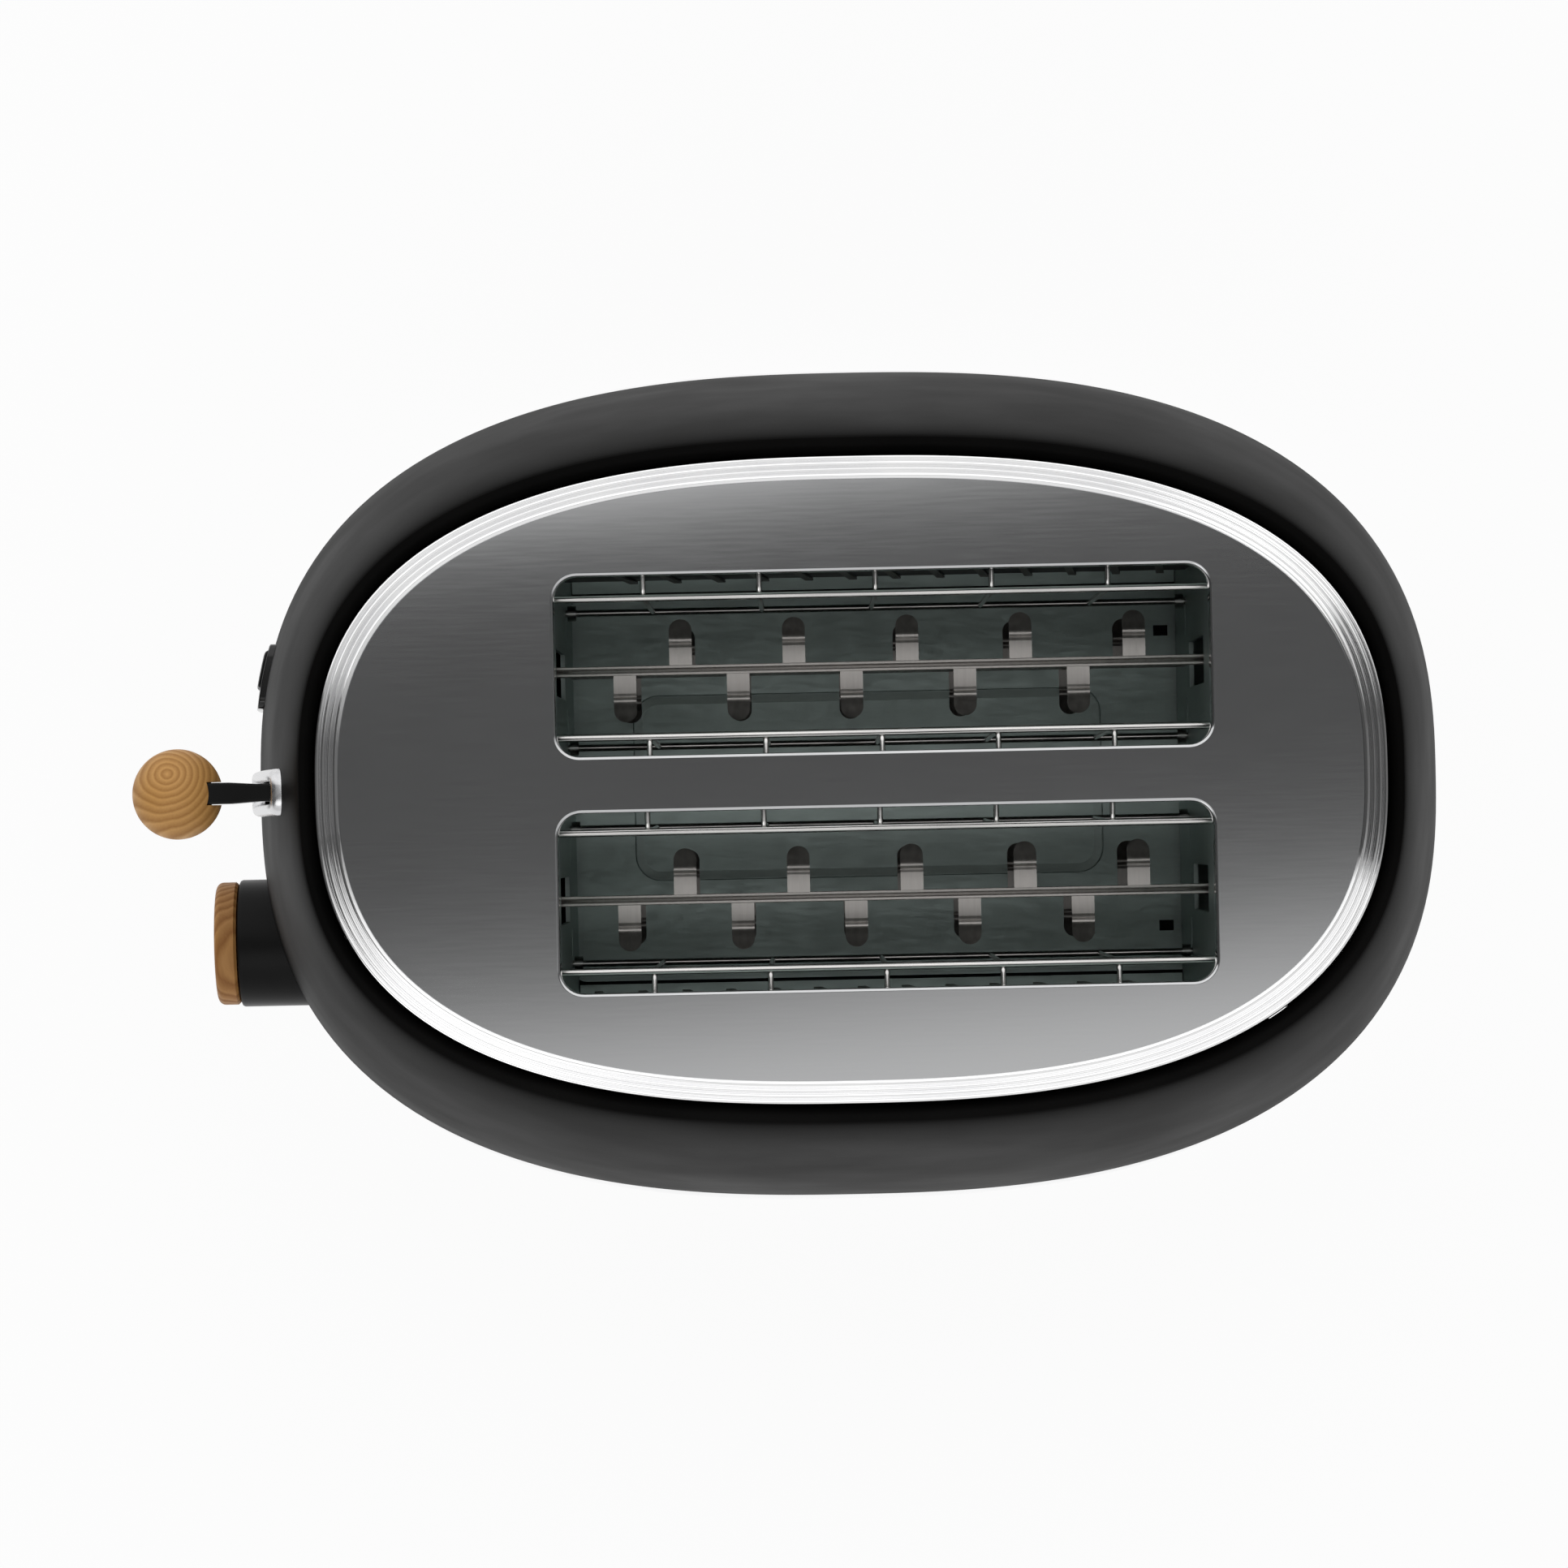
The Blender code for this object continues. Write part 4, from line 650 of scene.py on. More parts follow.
def beadProfile():
    # the stepped ring's section, from the foot of its outer wall to its inner edge
    points = [(0.0, plateTop - trim["skirtDepth"])]
    steps = trim["beadSteps"]
    for start, end, high in trim["beads"]:
        low = high - trim["groove"]
        for step in range(steps + 1):
            turn = math.pi * step / steps
            across = (start + end) / 2 - (end - start) / 2 * math.cos(turn)
            points.append((across, plateTop + low + trim["groove"] * math.sin(turn)))
    rise, skirt = plateTop + trim["rise"], trim["skirt"]
    return points + [(trim["width"], rise), (skirt, rise), (skirt, plateTop - trim["skirtDepth"]), points[0]]


def buildTrim():
    rings = [(trim["halfLength"] - inset, trim["halfWidth"] - inset, high) for inset, high in beadProfile()]
    piece = growRings(bodyOutline, rings, x=bodyX, closed=True)
    settle(piece, "trimRing", finishes["chrome"], ["top_trim_ring"], 50)


# Top plate with two bread slots and folded rims

plate = {
    "thickness": 0.0010, "edgeGap": 0.0003, "rimDepth": 0.0060, "rimWall": 0.0008, "roll": 0.0005,
    "border": 0.0002, "cutDepth": 0.02, "cutDrop": 0.004, "cornerSteps": 10, "near": 0.0002, "flat": 0.00005,
}


def buildTopPlate():
    reach = trim["skirt"] + plate["edgeGap"]
    lengths = (trim["halfLength"] - reach, trim["halfWidth"] - reach)
    piece = growRings(
        bodyOutline, [(*lengths, plateTop - plate["thickness"]), (*lengths, plateTop)], x=bodyX
    )
    depth = plate["rimDepth"] + plate["thickness"] / 2
    rims, cuts = [], []
    grown, steps = 2 * plate["rimWall"], plate["cornerSteps"]
    for side in (-1, 1):
        rims.append(slab(
            (slotX, side * slotY, plateTop - plate["thickness"] / 2 - depth / 2),
            (slots["length"] + grown, slots["width"] + grown, depth), slots["corner"] + plate["rimWall"], steps,
        ))
        cuts.append(slab(
            (slotX, side * slotY, plateTop - plate["cutDrop"]),
            (slots["length"], slots["width"], plate["cutDepth"]), slots["corner"], steps,
        ))
    carve(piece, rims, "UNION")
    carve(piece, cuts)
    edit(piece)

    def onSlotEdge(edge):
        points = [vertex.co for vertex in edge.verts]
        if any(abs(point.z - plateTop) > plate["flat"] for point in points) or edge.calc_face_angle(0) < 1:
            return False
        return all(
            abs(point.x - slotX) < slots["length"] / 2 + plate["near"]
            and abs(abs(point.y) - slotY) < slots["width"] / 2 + plate["near"]
            for point in points
        )

    pick(piece, "EDGE", onSlotEdge)
    bpy.ops.mesh.bevel(offset=plate["roll"], segments=5, affect="EDGES")
    # a narrow border keeps the flat of the plate flat in the light
    pick(piece, "FACE", lambda face: face.normal.z > 0.99 and face.calc_center_median().z > plateTop - 0.00002)
    bpy.ops.mesh.inset(thickness=plate["border"], use_even_offset=True)
    bpy.ops.mesh.quads_convert_to_tris(quad_method="BEAUTY", ngon_method="BEAUTY")
    only(piece)
    settle(piece, "topPlate", finishes["polished_steel"], ["top_plate"], 25)


# Chromed band round the foot of the housing

band = {
    "tuck": 0.0020, "tuckShare": 0.4, "shoulder": 0.0012, "shoulderCurve": 2.2, "steps": 10,
    "notchGap": 0.0005, "notchBelow": 0.0003, "notchAbove": 0.0043, "notchReach": 0.01,
}


def buildBand():
    low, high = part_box("base_band")
    halfLength, halfWidth = (high.x - low.x) / 2, (high.y - low.y) / 2
    inside = bodyHalfSizes(body["footHeight"], shell["wall"])
    rings = []
    for step in range(band["steps"] + 1):
        share = step / band["steps"]
        height = low.z + share * (high.z - low.z)
        turnAt = band["tuckShare"]
        if share < turnAt:
            inset = band["tuck"] * (1 - share / turnAt) ** 2
        else:
            inset = band["shoulder"] * ((share - turnAt) / (1 - turnAt)) ** band["shoulderCurve"]
        rings.append((halfLength - inset, halfWidth - inset, height))
    rings += [(*inside, high.z), (*inside, low.z), rings[0]]
    piece = growRings(bodyOutline, rings, x=bodyX, closed=True)
    trayLow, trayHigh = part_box("crumb_tray")
    notchLow, notchHigh = trayLow.z - band["notchBelow"], high.z + band["notchAbove"]
    reach, gap = band["notchReach"], band["notchGap"]
    notch = slab(
        (bodyX + halfLength / 2 + reach, 0, (notchLow + notchHigh) / 2),
        (halfLength + 2 * reach, trayHigh.y - trayLow.y + 2 * gap, notchHigh - notchLow),
    )
    carve(piece, [notch])
    settle(piece, "baseBand", finishes["chrome"], ["base_band"], 30)


buildShell()
print("scene: housing shell built")
buildTrim()
buildTopPlate()
buildBand()
print("scene: trim ring, top plate and base band built")


# Lever: escutcheon, arm and turned ball

lever = {
    "ringWidth": 0.0026, "ringProud": 0.0023, "ringSink": 0.0005, "ringCorner": 0.0024, "sectionSteps": 8,
    "ringCurve": 0.8, "armWidth": 0.0038, "armBevel": 0.0005, "headGrip": 0.0020, "neck": 0.006, "near": 0.0001,
    "ballSegments": 96, "ballRings": 48, "socketGap": 0.0002, "socketReach": 0.003,
}


def roundedPath(width, height, corner, middle, steps=6, step=0.0015):
    # points round an upright rounded rectangle, with the outward way at each: (y, z, way y, way z)
    points = []
    for quarter, (sideY, sideZ) in enumerate([(1, 1), (-1, 1), (-1, -1), (1, -1)]):
        centre = (middle[0] + sideY * (width / 2 - corner), middle[1] + sideZ * (height / 2 - corner))
        for count in range(steps + 1):
            turn = math.pi / 2 * (quarter + count / steps)
            way = (math.cos(turn), math.sin(turn))
            points.append((centre[0] + corner * way[0], centre[1] + corner * way[1], *way))
    filled = []
    for here, after in zip(points, points[1:] + points[:1]):
        length = math.hypot(after[0] - here[0], after[1] - here[1])
        count = max(int(length / step), 1)
        for part in range(count):
            share = part / count
            filled.append(tuple(a + share * (b - a) for a, b in zip(here, after)))
    return filled


def buildEscutcheon():
    middle, size = boxOf("lever_escutcheon")
    width, half = lever["ringWidth"], lever["ringWidth"] / 2
    path = roundedPath(size[1] - width, size[2] - width, lever["ringCorner"], middle[1:])
    steps = lever["sectionSteps"]
    section = [
        (
            half * math.cos(math.pi * step / steps),
            lever["ringProud"] * math.sin(math.pi * step / steps) ** lever["ringCurve"],
        )
        for step in range(steps + 1)
    ]
    section += [(-half, -lever["ringSink"]), (half, -lever["ringSink"])]
    deselect()
    bpy.ops.mesh.primitive_circle_add(vertices=len(path), radius=1)
    piece = bpy.context.object
    bpy.ops.object.mode_set(mode="EDIT")
    selectAll()
    for _ in section:
        bpy.ops.mesh.extrude_edges_move(TRANSFORM_OT_translate={"value": (0, 0, 1)})
    bpy.ops.object.mode_set(mode="OBJECT")
    # the rings of the tube are laid along the oblong, one ring for each point of the section
    spots = {
        (round(vertex.co.x, 5), round(vertex.co.y, 5)): place
        for vertex, place in zip(piece.data.vertices, path)
    }
    for vertex in piece.data.vertices:
        across, proud = section[round(vertex.co.z) % len(section)]
        y, z, wayY, wayZ = spots[round(vertex.co.x, 5), round(vertex.co.y, 5)]
        size = math.hypot(wayY, wayZ)
        y, z = y + across * wayY / size, z + across * wayZ / size
        vertex.co = (frontSkin(y, z) - proud, y, z)
    outward(piece)
    settle(piece, "leverEscutcheon", finishes["satin_silver"], ["lever_escutcheon"], 60)


def buildArm():
    middle, size = boxOf("lever_arm")
    narrow = lever["armWidth"]
    head = ballHigh.x + lever["headGrip"]
    piece = slab((middle[0], 0, middle[2]), (size[0], narrow, size[2]))
    edit(piece)
    for cut in (head, head + lever["neck"]):
        selectAll()
        bpy.ops.mesh.bisect(plane_co=(cut, 0, 0), plane_no=(1, 0, 0))
    pick(piece, "VERT", lambda vertex: vertex.co.x < head + lever["near"])
    bpy.ops.transform.resize(value=(1, size[1] / narrow, 1), center_override=(head, 0, 0))
    only(piece)
    roundEdges(piece, lever["armBevel"], 3, 30)
    settle(piece, "leverArm", finishes["black_plastic"], ["lever_arm"], 40)


def buildBall():
    armLow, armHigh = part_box("lever_arm")
    deselect()
    bpy.ops.mesh.primitive_uv_sphere_add(
        segments=lever["ballSegments"], ring_count=lever["ballRings"], radius=(ballHigh.z - ballLow.z) / 2,
        location=ballMiddle, rotation=(0, -math.pi / 2, 0),
    )
    piece = bpy.context.object
    done(piece)
    gap, reach = lever["socketGap"], lever["socketReach"]
    tip = armLow.x - gap
    socket = slab(
        ((tip + ballHigh.x + reach) / 2, 0, ballMiddle.z),
        (ballHigh.x + reach - tip, armHigh.y - armLow.y + 2 * gap, armHigh.z - armLow.z + 2 * gap),
    )
    carve(piece, [socket])
    settle(piece, "leverBall", finishes["ball_oak"], ["lever_ball"], 45)


buildEscutcheon()
buildArm()
buildBall()
print("scene: lever built")


# Browning knob: a black barrel with a wooden face

knob = {
    "segments": 96, "edge": 0.0007, "edgeRound": 0.3, "wall": 0.0018, "lip": 0.0016, "dip": 0.0006,
    "bore": 0.004, "floor": 0.004, "foot": 0.0004,
    "capEdge": 0.0016, "capSteps": 6, "capDish": 0.0003, "capFoot": 0.0006, "capRings": (0.75, 0.5, 0.25, 0.02),
}


def buildKnob():
    low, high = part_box("knob_barrel")
    middle, size = boxOf("knob_barrel")
    middle[0], radius = 0, size[1] / 2
    edge, bore, inner = knob["edge"], knob["bore"], radius - knob["wall"]
    back, front, soft = -high.x, -low.x, knob["edge"] * knob["edgeRound"]
    barrel = turned([
        (inner, back + knob["foot"]), (radius - edge, back), (radius, back + edge), (radius, front - edge),
        (radius - soft, front - soft), (radius - edge, front), (radius - knob["lip"], front),
        (inner, front - knob["dip"]), (bore, front - knob["dip"]), (bore, back + knob["floor"]),
        (inner, back + knob["floor"]), (inner, back + knob["foot"]),
    ], knob["segments"], middle)
    settle(barrel, "knobBarrel", finishes["black_plastic"], ["knob_barrel"], 40)

    capRadius, rounding, foot = (capHigh.y - capLow.y) / 2, knob["capEdge"], knob["capFoot"]
    profile = [(capRadius - foot, -capHigh.x), (capRadius, -capHigh.x + foot)]
    for step in range(knob["capSteps"] + 1):
        turn = math.pi / 2 * step / knob["capSteps"]
        profile.append((
            capRadius - rounding * (1 - math.cos(turn)), -capLow.x - rounding * (1 - math.sin(turn)),
        ))
    for share in knob["capRings"]:
        profile.append(((capRadius - rounding) * share, -capLow.x - knob["capDish"] * (1 - share ** 2)))
    cap = turned(profile, knob["segments"], middle)
    settle(cap, "knobCap", finishes["cap_oak"], ["knob_cap"], 40)


buildKnob()
print("scene: knob built")


# Button panel and its three push buttons

buttons = {
    "corner": 0.0022, "panelRound": 0.0005, "proud": 0.0014, "sink": 0.0012, "rows": 0.0025,
    "gap": 0.0003, "cut": 0.02,
    "buttonCorner": 0.0012, "buttonRound": 0.0006, "buttonProud": 0.0020, "buttonDepth": 0.0050,
    "nodes": {"button_top": "topButton", "button_middle": "middleButton", "button_bottom": "bottomButton"},
}


def wrapped(piece, node, width, segments, angle):
    # edges rounded, then cut in rows and laid on the housing's front
    low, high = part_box(node)
    roundEdges(piece, width, segments, angle)
    bisectRows(piece, low.z, high.z, buttons["rows"])
    bisectRows(piece, low.y, high.y, buttons["rows"], "Y")
    wrapToFront(piece)


def buildPanel():
    middle, size = boxOf("button_bezel")
    proud, sink, gap = buttons["proud"], buttons["sink"], buttons["gap"]
    piece = slab((-(proud - sink) / 2, *middle[1:]), (proud + sink, *size[1:]), buttons["corner"], 6, "X")
    holes = []
    for node in buttons["nodes"]:
        middle, size = boxOf(node)
        holes.append(slab(
            (0, *middle[1:]), (buttons["cut"], size[1] + 2 * gap, size[2] + 2 * gap), buttons["buttonCorner"], 5, "X",
        ))
    carve(piece, holes)
    wrapped(piece, "button_bezel", buttons["panelRound"], 3, 40)
    settle(piece, "buttonPanel", finishes["gloss_black"], ["button_bezel"], 35)
    front, depth = buttons["buttonProud"], buttons["buttonDepth"]
    for node, title in buttons["nodes"].items():
        middle, size = boxOf(node)
        piece = slab(
            ((depth - front) / 2, *middle[1:]), (depth + front, *size[1:]), buttons["buttonCorner"], 5, "X",
        )
        wrapped(piece, node, buttons["buttonRound"], 4, 50)
        settle(piece, title, finishes["black_plastic"], [node], 35)


buildPanel()
print("scene: buttons built")


# Bread guides: wire cages with a top and a bottom rod

guides = {
    "wireRadius": 0.0006, "rodRadius": 0.0008, "hook": 0.0055, "bend": 0.0020, "bendSteps": 5,
    "wires": 5, "pitch": 0.0251, "shift": 0.0066, "phase": 0.0004, "sides": 12, "lean": 0.0010, "overlap": 0.0004,
    "collarStart": 0.0020, "collarLength": 0.0020, "collarRadius": 0.0017, "collarSides": 16,
    "nodes": {
        "guide_left_outer": "guideLeftOuter", "guide_left_inner": "guideLeftInner",
        "guide_right_inner": "guideRightInner", "guide_right_outer": "guideRightOuter",
    },
}


def buildGuide(node, title):
    low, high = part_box(node)
    slotSide = 1 if (low.y + high.y) > 0 else -1
    middle = slotSide * slotY
    away = 1 if (low.y + high.y) / 2 > middle else -1
    rod = guides["rodRadius"]
    y = (low.y + rod) if away > 0 else (high.y - rod)
    top, bottom = high.z - rod, low.z + rod
    # the inner guides' bottom rods lie a little nearer the body's middle
    foot = y - slotSide * guides["lean"] if away == -slotSide else y
    pieces = [
        tube([(low.x, y, top), (high.x, y, top)], rod, guides["sides"]),
        tube([(low.x, foot, bottom), (high.x, foot, bottom)], rod, guides["sides"]),
    ]
    for end, way in ((low.x, 1), (high.x, -1)):
        start = end + way * guides["collarStart"]
        pieces.append(tube(
            [(start, foot, bottom), (start + way * guides["collarLength"], foot, bottom)],
            guides["collarRadius"], guides["collarSides"],
        ))
    phase, bend = -away * guides["phase"], guides["bend"]
    for index in range(guides["wires"]):
        x = bodyX + guides["shift"] + phase + (index - (guides["wires"] - 1) / 2) * guides["pitch"]
        path = [(x, y + away * guides["hook"], top)]
        for step in range(guides["bendSteps"] + 1):
            angle = math.pi / 2 * step / guides["bendSteps"]
            path.append((x, y + away * bend * (1 - math.sin(angle)), top - bend * (1 - math.cos(angle))))
        path.append((x, foot, bottom - guides["overlap"]))
        pieces.append(tube(path, guides["wireRadius"], guides["sides"]))
    piece = join(title, pieces)
    settle(piece, title, finishes["wire_steel"], [node], 60)


for node, title in guides["nodes"].items():
    buildGuide(node, title)
print("scene: guides built")


# Bread lifts: folded upright strips with creased tabs to the left and right in turn, at two heights

lifts = {
    "width": 0.0022, "webHeight": 0.0085, "sheet": 0.0007, "groove": 0.0030, "endInset": 0.0017, "edge": 0.0002,
    "tabs": 5, "pitch": 0.0250, "shift": 0.0071, "stagger": 0.0124,
    "tabWidth": 0.0050, "tabSheet": 0.0007, "tipRound": 0.00245, "reach": 0.0105,
    # height along a tab, from its root: a flat, a groove, a rounded crease and a falling tip
    "profile": [
        (0.0, 0.0), (0.0041, 0.0), (0.0044, -0.0001), (0.0047, -0.00035), (0.0050, -0.0004), (0.0053, -0.0001),
        (0.0056, 0.0001), (0.0059, 0.0002), (0.0062, 0.0001), (0.0065, -0.0001), (0.0069, -0.0004),
        (0.0074, -0.0008), (0.0090, -0.0018), (0.0105, -0.0028),
    ],
    "firstDrop": 0.0001, "secondDrop": 0.051, "secondWeb": 0.0012, "overlap": 0.0002,
}


def buildTab():
    # one tab that points towards +Y from its root at the origin, with a rounded end
    length = lifts["reach"]
    piece = slab((0, length / 2, -lifts["tabSheet"] / 2), (lifts["tabWidth"], length, lifts["tabSheet"]))
    edit(piece)
    pick(
        piece, "EDGE", lambda edge: abs(edge.verts[0].co.z - edge.verts[1].co.z) > lifts["tabSheet"] / 2
        and edge.verts[0].co.y > length / 2,
    )
    bpy.ops.mesh.bevel(offset=lifts["tipRound"], segments=10, affect="EDGES")
    for along, _ in lifts["profile"][1:-1]:
        selectAll()
        bpy.ops.mesh.bisect(plane_co=(0, along, 0), plane_no=(0, 1, 0))
    only(piece)
    for vertex in piece.data.vertices:
        for (near, low), (far, high) in zip(lifts["profile"], lifts["profile"][1:]):
            if near - 0.00001 <= vertex.co.y <= far + 0.00001:
                vertex.co.z += low + (high - low) * (vertex.co.y - near) / (far - near)
                break
    return coat(piece, finishes["tab_steel"])


def buildLift(node, title):
    low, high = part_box(node)
    across, middle, top = (low.x + high.x) / 2, (low.y + high.y) / 2, high.z
    webHeight, inset = lifts["webHeight"], lifts["endInset"]
    web = slab((across, middle, top - webHeight / 2), (high.x - low.x, lifts["width"], webHeight))
    groove = slab(
        (across, middle, top), (high.x - low.x + 2 * inset, lifts["width"] - 2 * lifts["sheet"], 2 * lifts["groove"]),
    )
    carve(web, [groove])
    roundEdges(web, lifts["edge"], 2, 50)
    start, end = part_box("front_end_plate")[1].x + inset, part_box("rear_end_plate")[0].x - inset
    depth = lifts["secondDrop"] - webHeight
    lower = slab(
        ((start + end) / 2, middle, top - webHeight - depth / 2 + lifts["overlap"]),
        (end - start, lifts["secondWeb"], depth),
    )
    pieces = [coat(web, finishes["tab_steel"]), coat(lower, finishes["tab_steel"])]
    tab = buildTab()
    for index in range(lifts["tabs"]):
        for side in (1, -1):
            x = (
                bodyX + lifts["shift"] + side * lifts["stagger"] / 2
                + (index - (lifts["tabs"] - 1) / 2) * lifts["pitch"]
            )
            for drop, root in ((lifts["firstDrop"], lifts["width"]), (lifts["secondDrop"], lifts["secondWeb"])):
                y = middle + side * (root / 2 - lifts["sheet"] / 2)
                pieces.append(copyOf(tab, (x, y, top - drop), 0.0 if side > 0 else math.pi))
    bpy.data.objects.remove(tab)
    settle(join(title, pieces), title, None, [node], 40)


buildLift("bread_lift_left", "breadLiftLeft")
buildLift("bread_lift_right", "breadLiftRight")
print("scene: lifts built")


# Crumb tray: the floor of the toasting chamber

tray = {
    "sheet": 0.0008, "corner": 0.0030, "embossLength": 0.1110, "embossWidth": 0.0440, "embossCorner": 0.0060,
    "embossHeight": 0.0006, "embossRim": 0.0022, "embossShift": -0.002, "embossDish": 0.7, "embossRound": 0.0004,
    "hole": (0.0034, 0.0025), "holeSide": 0.0350, "holeSetback": 0.0032, "cutDepth": 0.01,
}


def buildTray():
    low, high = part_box("crumb_tray")
    length, width, sheet = high.x - low.x, high.y - low.y, tray["sheet"]
    middle, floor, cut = (low.x + high.x) / 2, low.z + sheet, tray["cutDepth"]
    piece = slab((middle, 0, (low.z + high.z) / 2), (length, width, high.z - low.z), tray["corner"], 6)
    hollow = slab(
        (middle, 0, floor + cut), (length - 2 * sheet, width - 2 * sheet, 2 * cut), tray["corner"] - sheet, 6,
    )
    carve(piece, [hollow])
    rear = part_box("rear_end_plate")[0].x
    carve(piece, [
        slab((rear - tray["holeSetback"], side * tray["holeSide"], low.z), (*tray["hole"], cut))
        for side in (-1, 1)
    ])
    raised = slab(
        (slotX + tray["embossShift"], 0, floor),
        (tray["embossLength"], tray["embossWidth"], 2 * tray["embossHeight"]), tray["embossCorner"], 8,
    )
    edit(raised)
    pick(raised, "FACE", lambda face: face.normal.z > 0.9)
    bpy.ops.mesh.inset(thickness=tray["embossRim"])
    bpy.ops.transform.translate(value=(0, 0, -tray["embossHeight"] * tray["embossDish"]))
    only(raised)
    roundEdges(raised, tray["embossRound"], 3, 20)
    settle(join("crumbTray", [piece, raised]), "crumbTray", finishes["chamber_steel"], ["crumb_tray"], 30)


buildTray()
print("scene: crumb tray built")


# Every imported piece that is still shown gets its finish

for name, node in frame["nodes"].items():
    if not node.hide_render:
        kind = slotOf(name) or "black_plastic"
        node.data.materials.clear()
        node.data.materials.append(finishes["ball_oak" if kind == "oak" else kind])
print("scene: finishes given")


# Floor, light and camera

studio = {
    "floorSize": 6.0, "floorTone": 0.93, "floorGlow": 0.93, "skyLevel": 1.15, "belowLevel": 0.85,
    "keySize": 1.2, "keyPower": 4.0, "keyPlace": (-0.9, -1.1, 1.9),
    # brightness across the flag overhead, by slope from the zenith towards +Y
    "flag": [
        (-0.045, 0.80), (-0.034, 0.74), (-0.023, 0.42), (-0.0198, 0.35), (-0.0172, 0.225), (-0.012, 0.17),
        (-0.006, 0.122), (0.0, 0.104), (0.030, 0.096), (0.038, 0.102), (0.0425, 0.115), (0.0452, 0.16),
        (0.0475, 0.42), (0.055, 1.15),
    ],
    "flagReach": 0.06, "flagLean": 0.0976,
    # brightness of the dark cards beyond the lever end and the back end, by slope towards +Y
    "frontCard": [(-1.3, 0.80), (-0.80, 0.60), (-0.60, 0.07), (0.24, 0.06), (0.40, 1.0), (1.3, 1.15)],
    "rearCard": [
        (-1.3, 0.80), (-0.45, 0.60), (-0.20, 0.32), (-0.07, 0.14), (0.07, 0.14), (0.20, 0.40), (0.5, 0.9),
        (1.3, 1.15),
    ],
    "cardReach": 1.5, "cardRise": (0.10, 0.20), "leastSlope": 0.001,
}


def buildFloor():
    deselect()
    bpy.ops.mesh.primitive_plane_add(size=studio["floorSize"])
    floor = bpy.context.object
    floor.name = "studioFloor"
    made, tree, _ = newFinish(
        "paleFloor", Base_Color=(*[studio["floorTone"]] * 3, 1.0), Roughness=0.9, Specular_IOR_Level=0.0
    )
    rays = addNode(tree, "ShaderNodeLightPath", (-400, 300)).outputs
    seen = maths(tree, "MAXIMUM", rays["Is Camera Ray"], rays["Is Glossy Ray"], at=(-200, 300))
    seen = maths(tree, "MAXIMUM", seen, rays["Is Transmission Ray"], at=(-100, 300))
    mixer = addNode(tree, "ShaderNodeMixShader", (300, 0), {
        0: maths(tree, "MULTIPLY", seen, studio["floorGlow"], at=(50, 300)),
        1: tree.nodes["Principled BSDF"].outputs[0],
        2: addNode(tree, "ShaderNodeEmission", (0, -300)).outputs[0],
    })
    tree.links.new(mixer.outputs[0], tree.nodes["Material Output"].inputs["Surface"])
    floor.data.materials.append(made)


def levelAlong(tree, value, reach, stops, at):
    # brightness along a value between -reach and reach, from stops of (value, level)
    share = spread(tree, value, -reach, reach, at=at)
    return rampOf(tree, share, [((place + reach) / (2 * reach), level) for place, level in stops], at)


def buildSky():
    # a wide soft light above both long sides, a dark flag straight above, dark cards at both ends
    world = bpy.data.worlds.new("studioSky")
    world.use_nodes = True
    bpy.context.scene.world = world
    tree = world.node_tree
    least = studio["leastSlope"]
    spot = addNode(tree, "ShaderNodeTexCoord", (-1300, 0)).outputs["Generated"]
    split = addNode(tree, "ShaderNodeSeparateXYZ", (-1100, 0), {0: spot}).outputs
    steep = maths(tree, "MAXIMUM", split["Z"], least, at=(-900, -200))
    slopeX, slopeY = [maths(tree, "DIVIDE", split[way], steep, at=(-750, 0)) for way in ("X", "Y")]
    lean = maths(tree, "MULTIPLY", slopeX, studio["flagLean"], at=(-600, -100))
    across = maths(tree, "SUBTRACT", slopeY, lean, at=(-450, -200))
    overhead = levelAlong(tree, across, studio["flagReach"], studio["flag"], (-300, -200))
    wide = maths(tree, "MAXIMUM", maths(tree, "ABSOLUTE", split["X"]), least, at=(-750, 300))
    side = maths(tree, "DIVIDE", split["Y"], wide, at=(-600, 300))
    cards = addNode(tree, "ShaderNodeMix", (0, 400), {
        0: maths(tree, "GREATER_THAN", split["X"], 0.0, at=(-150, 600)),
        2: levelAlong(tree, side, studio["cardReach"], studio["frontCard"], (-450, 500)),
        3: levelAlong(tree, side, studio["cardReach"], studio["rearCard"], (-450, 300)),
    }, data_type="FLOAT").outputs[0]
    lowness = spread(
        tree, maths(tree, "ABSOLUTE", slopeX), *studio["cardRise"], at=(0, 100), interpolation_type="SMOOTHSTEP"
    )
    ends = addNode(tree, "ShaderNodeMix", (200, 300), {
        0: lowness, 2: studio["skyLevel"], 3: cards,
    }, data_type="FLOAT").outputs[0]
    level = maths(tree, "MINIMUM", ends, overhead, at=(400, 0))
    below = maths(tree, "LESS_THAN", split["Z"], 0.0, at=(400, -300))
    below = maths(tree, "MULTIPLY", below, studio["belowLevel"], at=(550, -300))
    level = maths(tree, "MAXIMUM", level, below, at=(700, 0))
    seen = addNode(tree, "ShaderNodeLightPath", (550, 300)).outputs["Is Camera Ray"]
    ground = tree.nodes["Background"].inputs
    ground["Color"].default_value = (1, 1, 1, 1)
    tree.links.new(maths(tree, "MAXIMUM", level, seen, at=(850, 0)), ground["Strength"])


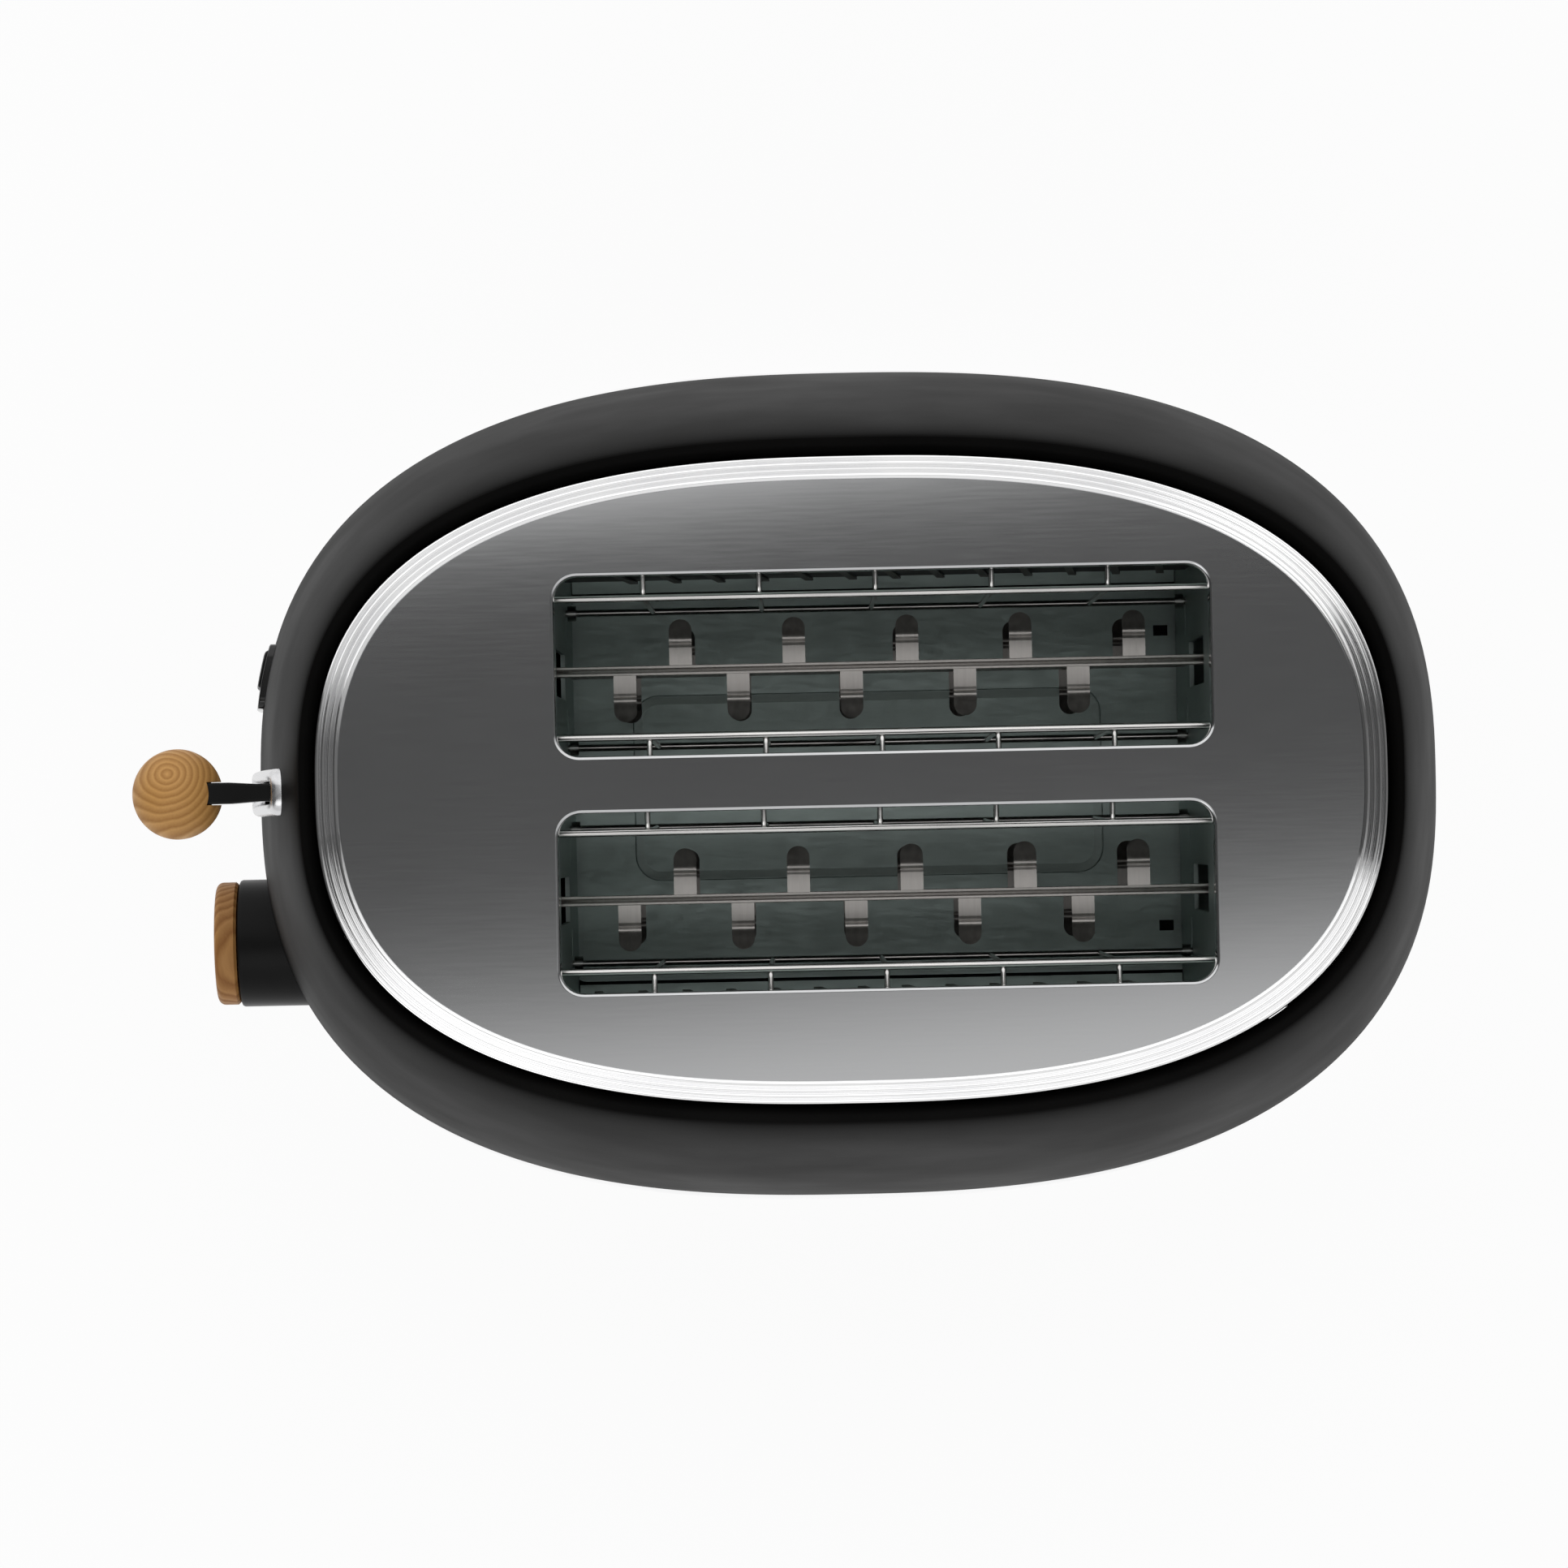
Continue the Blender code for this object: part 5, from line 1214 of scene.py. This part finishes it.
def buildLights():
    data = bpy.data.lights.new("keySoftbox", "AREA")
    data.shape = "SQUARE"
    data.size = studio["keySize"]
    data.energy = studio["keyPower"]
    lamp = bpy.data.objects.new("keySoftbox", data)
    bpy.context.scene.collection.objects.link(lamp)
    lamp.location = studio["keyPlace"]
    aim = Vector((bodyX, 0, 0.1)) - Vector(studio["keyPlace"])
    lamp.rotation_euler = aim.to_track_quat("-Z", "Y").to_euler()


camera = {
    "standoff": 1.55,  # metres above the top plate
    "pixelsPerMetre": 5780.0,  # at the top plate, in a picture 1932 wide
    "picture": 1932,
    "turn": math.radians(1.2),
    "bodyPixel": (1043.9, 965.4),
    "nadirFromBody": (-0.01041, -0.00988),
    "bellyDrop": 0.141,
}


def buildCamera():
    data = bpy.data.cameras.new("overhead")
    focal = camera["pixelsPerMetre"] * camera["standoff"]  # in pixels
    data.sensor_width = 36.0
    data.lens = focal / camera["picture"] * data.sensor_width
    data.clip_start, data.clip_end = 0.05, 20
    seer = bpy.data.objects.new("overhead", data)
    bpy.context.scene.collection.objects.link(seer)
    bpy.context.scene.camera = seer
    height = plateTop + camera["standoff"]
    place = Vector((bodyX + camera["nadirFromBody"][0], camera["nadirFromBody"][1], height))
    # the way to the body's middle, seen at its pixel, fixes where the picture's middle looks
    turn = Matrix.Rotation(-camera["turn"], 3, "Z")
    right, up = turn @ Vector((1, 0, 0)), turn @ Vector((0, 1, 0))
    half = camera["picture"] / 2
    bellyScale = focal / (camera["standoff"] + camera["bellyDrop"])
    offset = Vector((bodyX, 0, 0)) - Vector((place.x, place.y, 0))
    nadirPixel = (
        camera["bodyPixel"][0] - offset.dot(right) * bellyScale,
        camera["bodyPixel"][1] + offset.dot(up) * bellyScale,
    )
    tiltX, tiltY = (half - nadirPixel[0]) / focal, (nadirPixel[1] - half) / focal
    forward = (Vector((0, 0, -1)) + tiltX * right + tiltY * up).normalized()
    side = (right - forward * right.dot(forward)).normalized()
    top = side.cross(forward)
    seer.matrix_world = Matrix((
        (side.x, top.x, -forward.x, place.x), (side.y, top.y, -forward.y, place.y),
        (side.z, top.z, -forward.z, place.z), (0, 0, 0, 1),
    ))


buildFloor()
buildSky()
buildLights()
buildCamera()
bpy.context.scene.view_settings.view_transform = "Standard"
print("scene: studio ready")
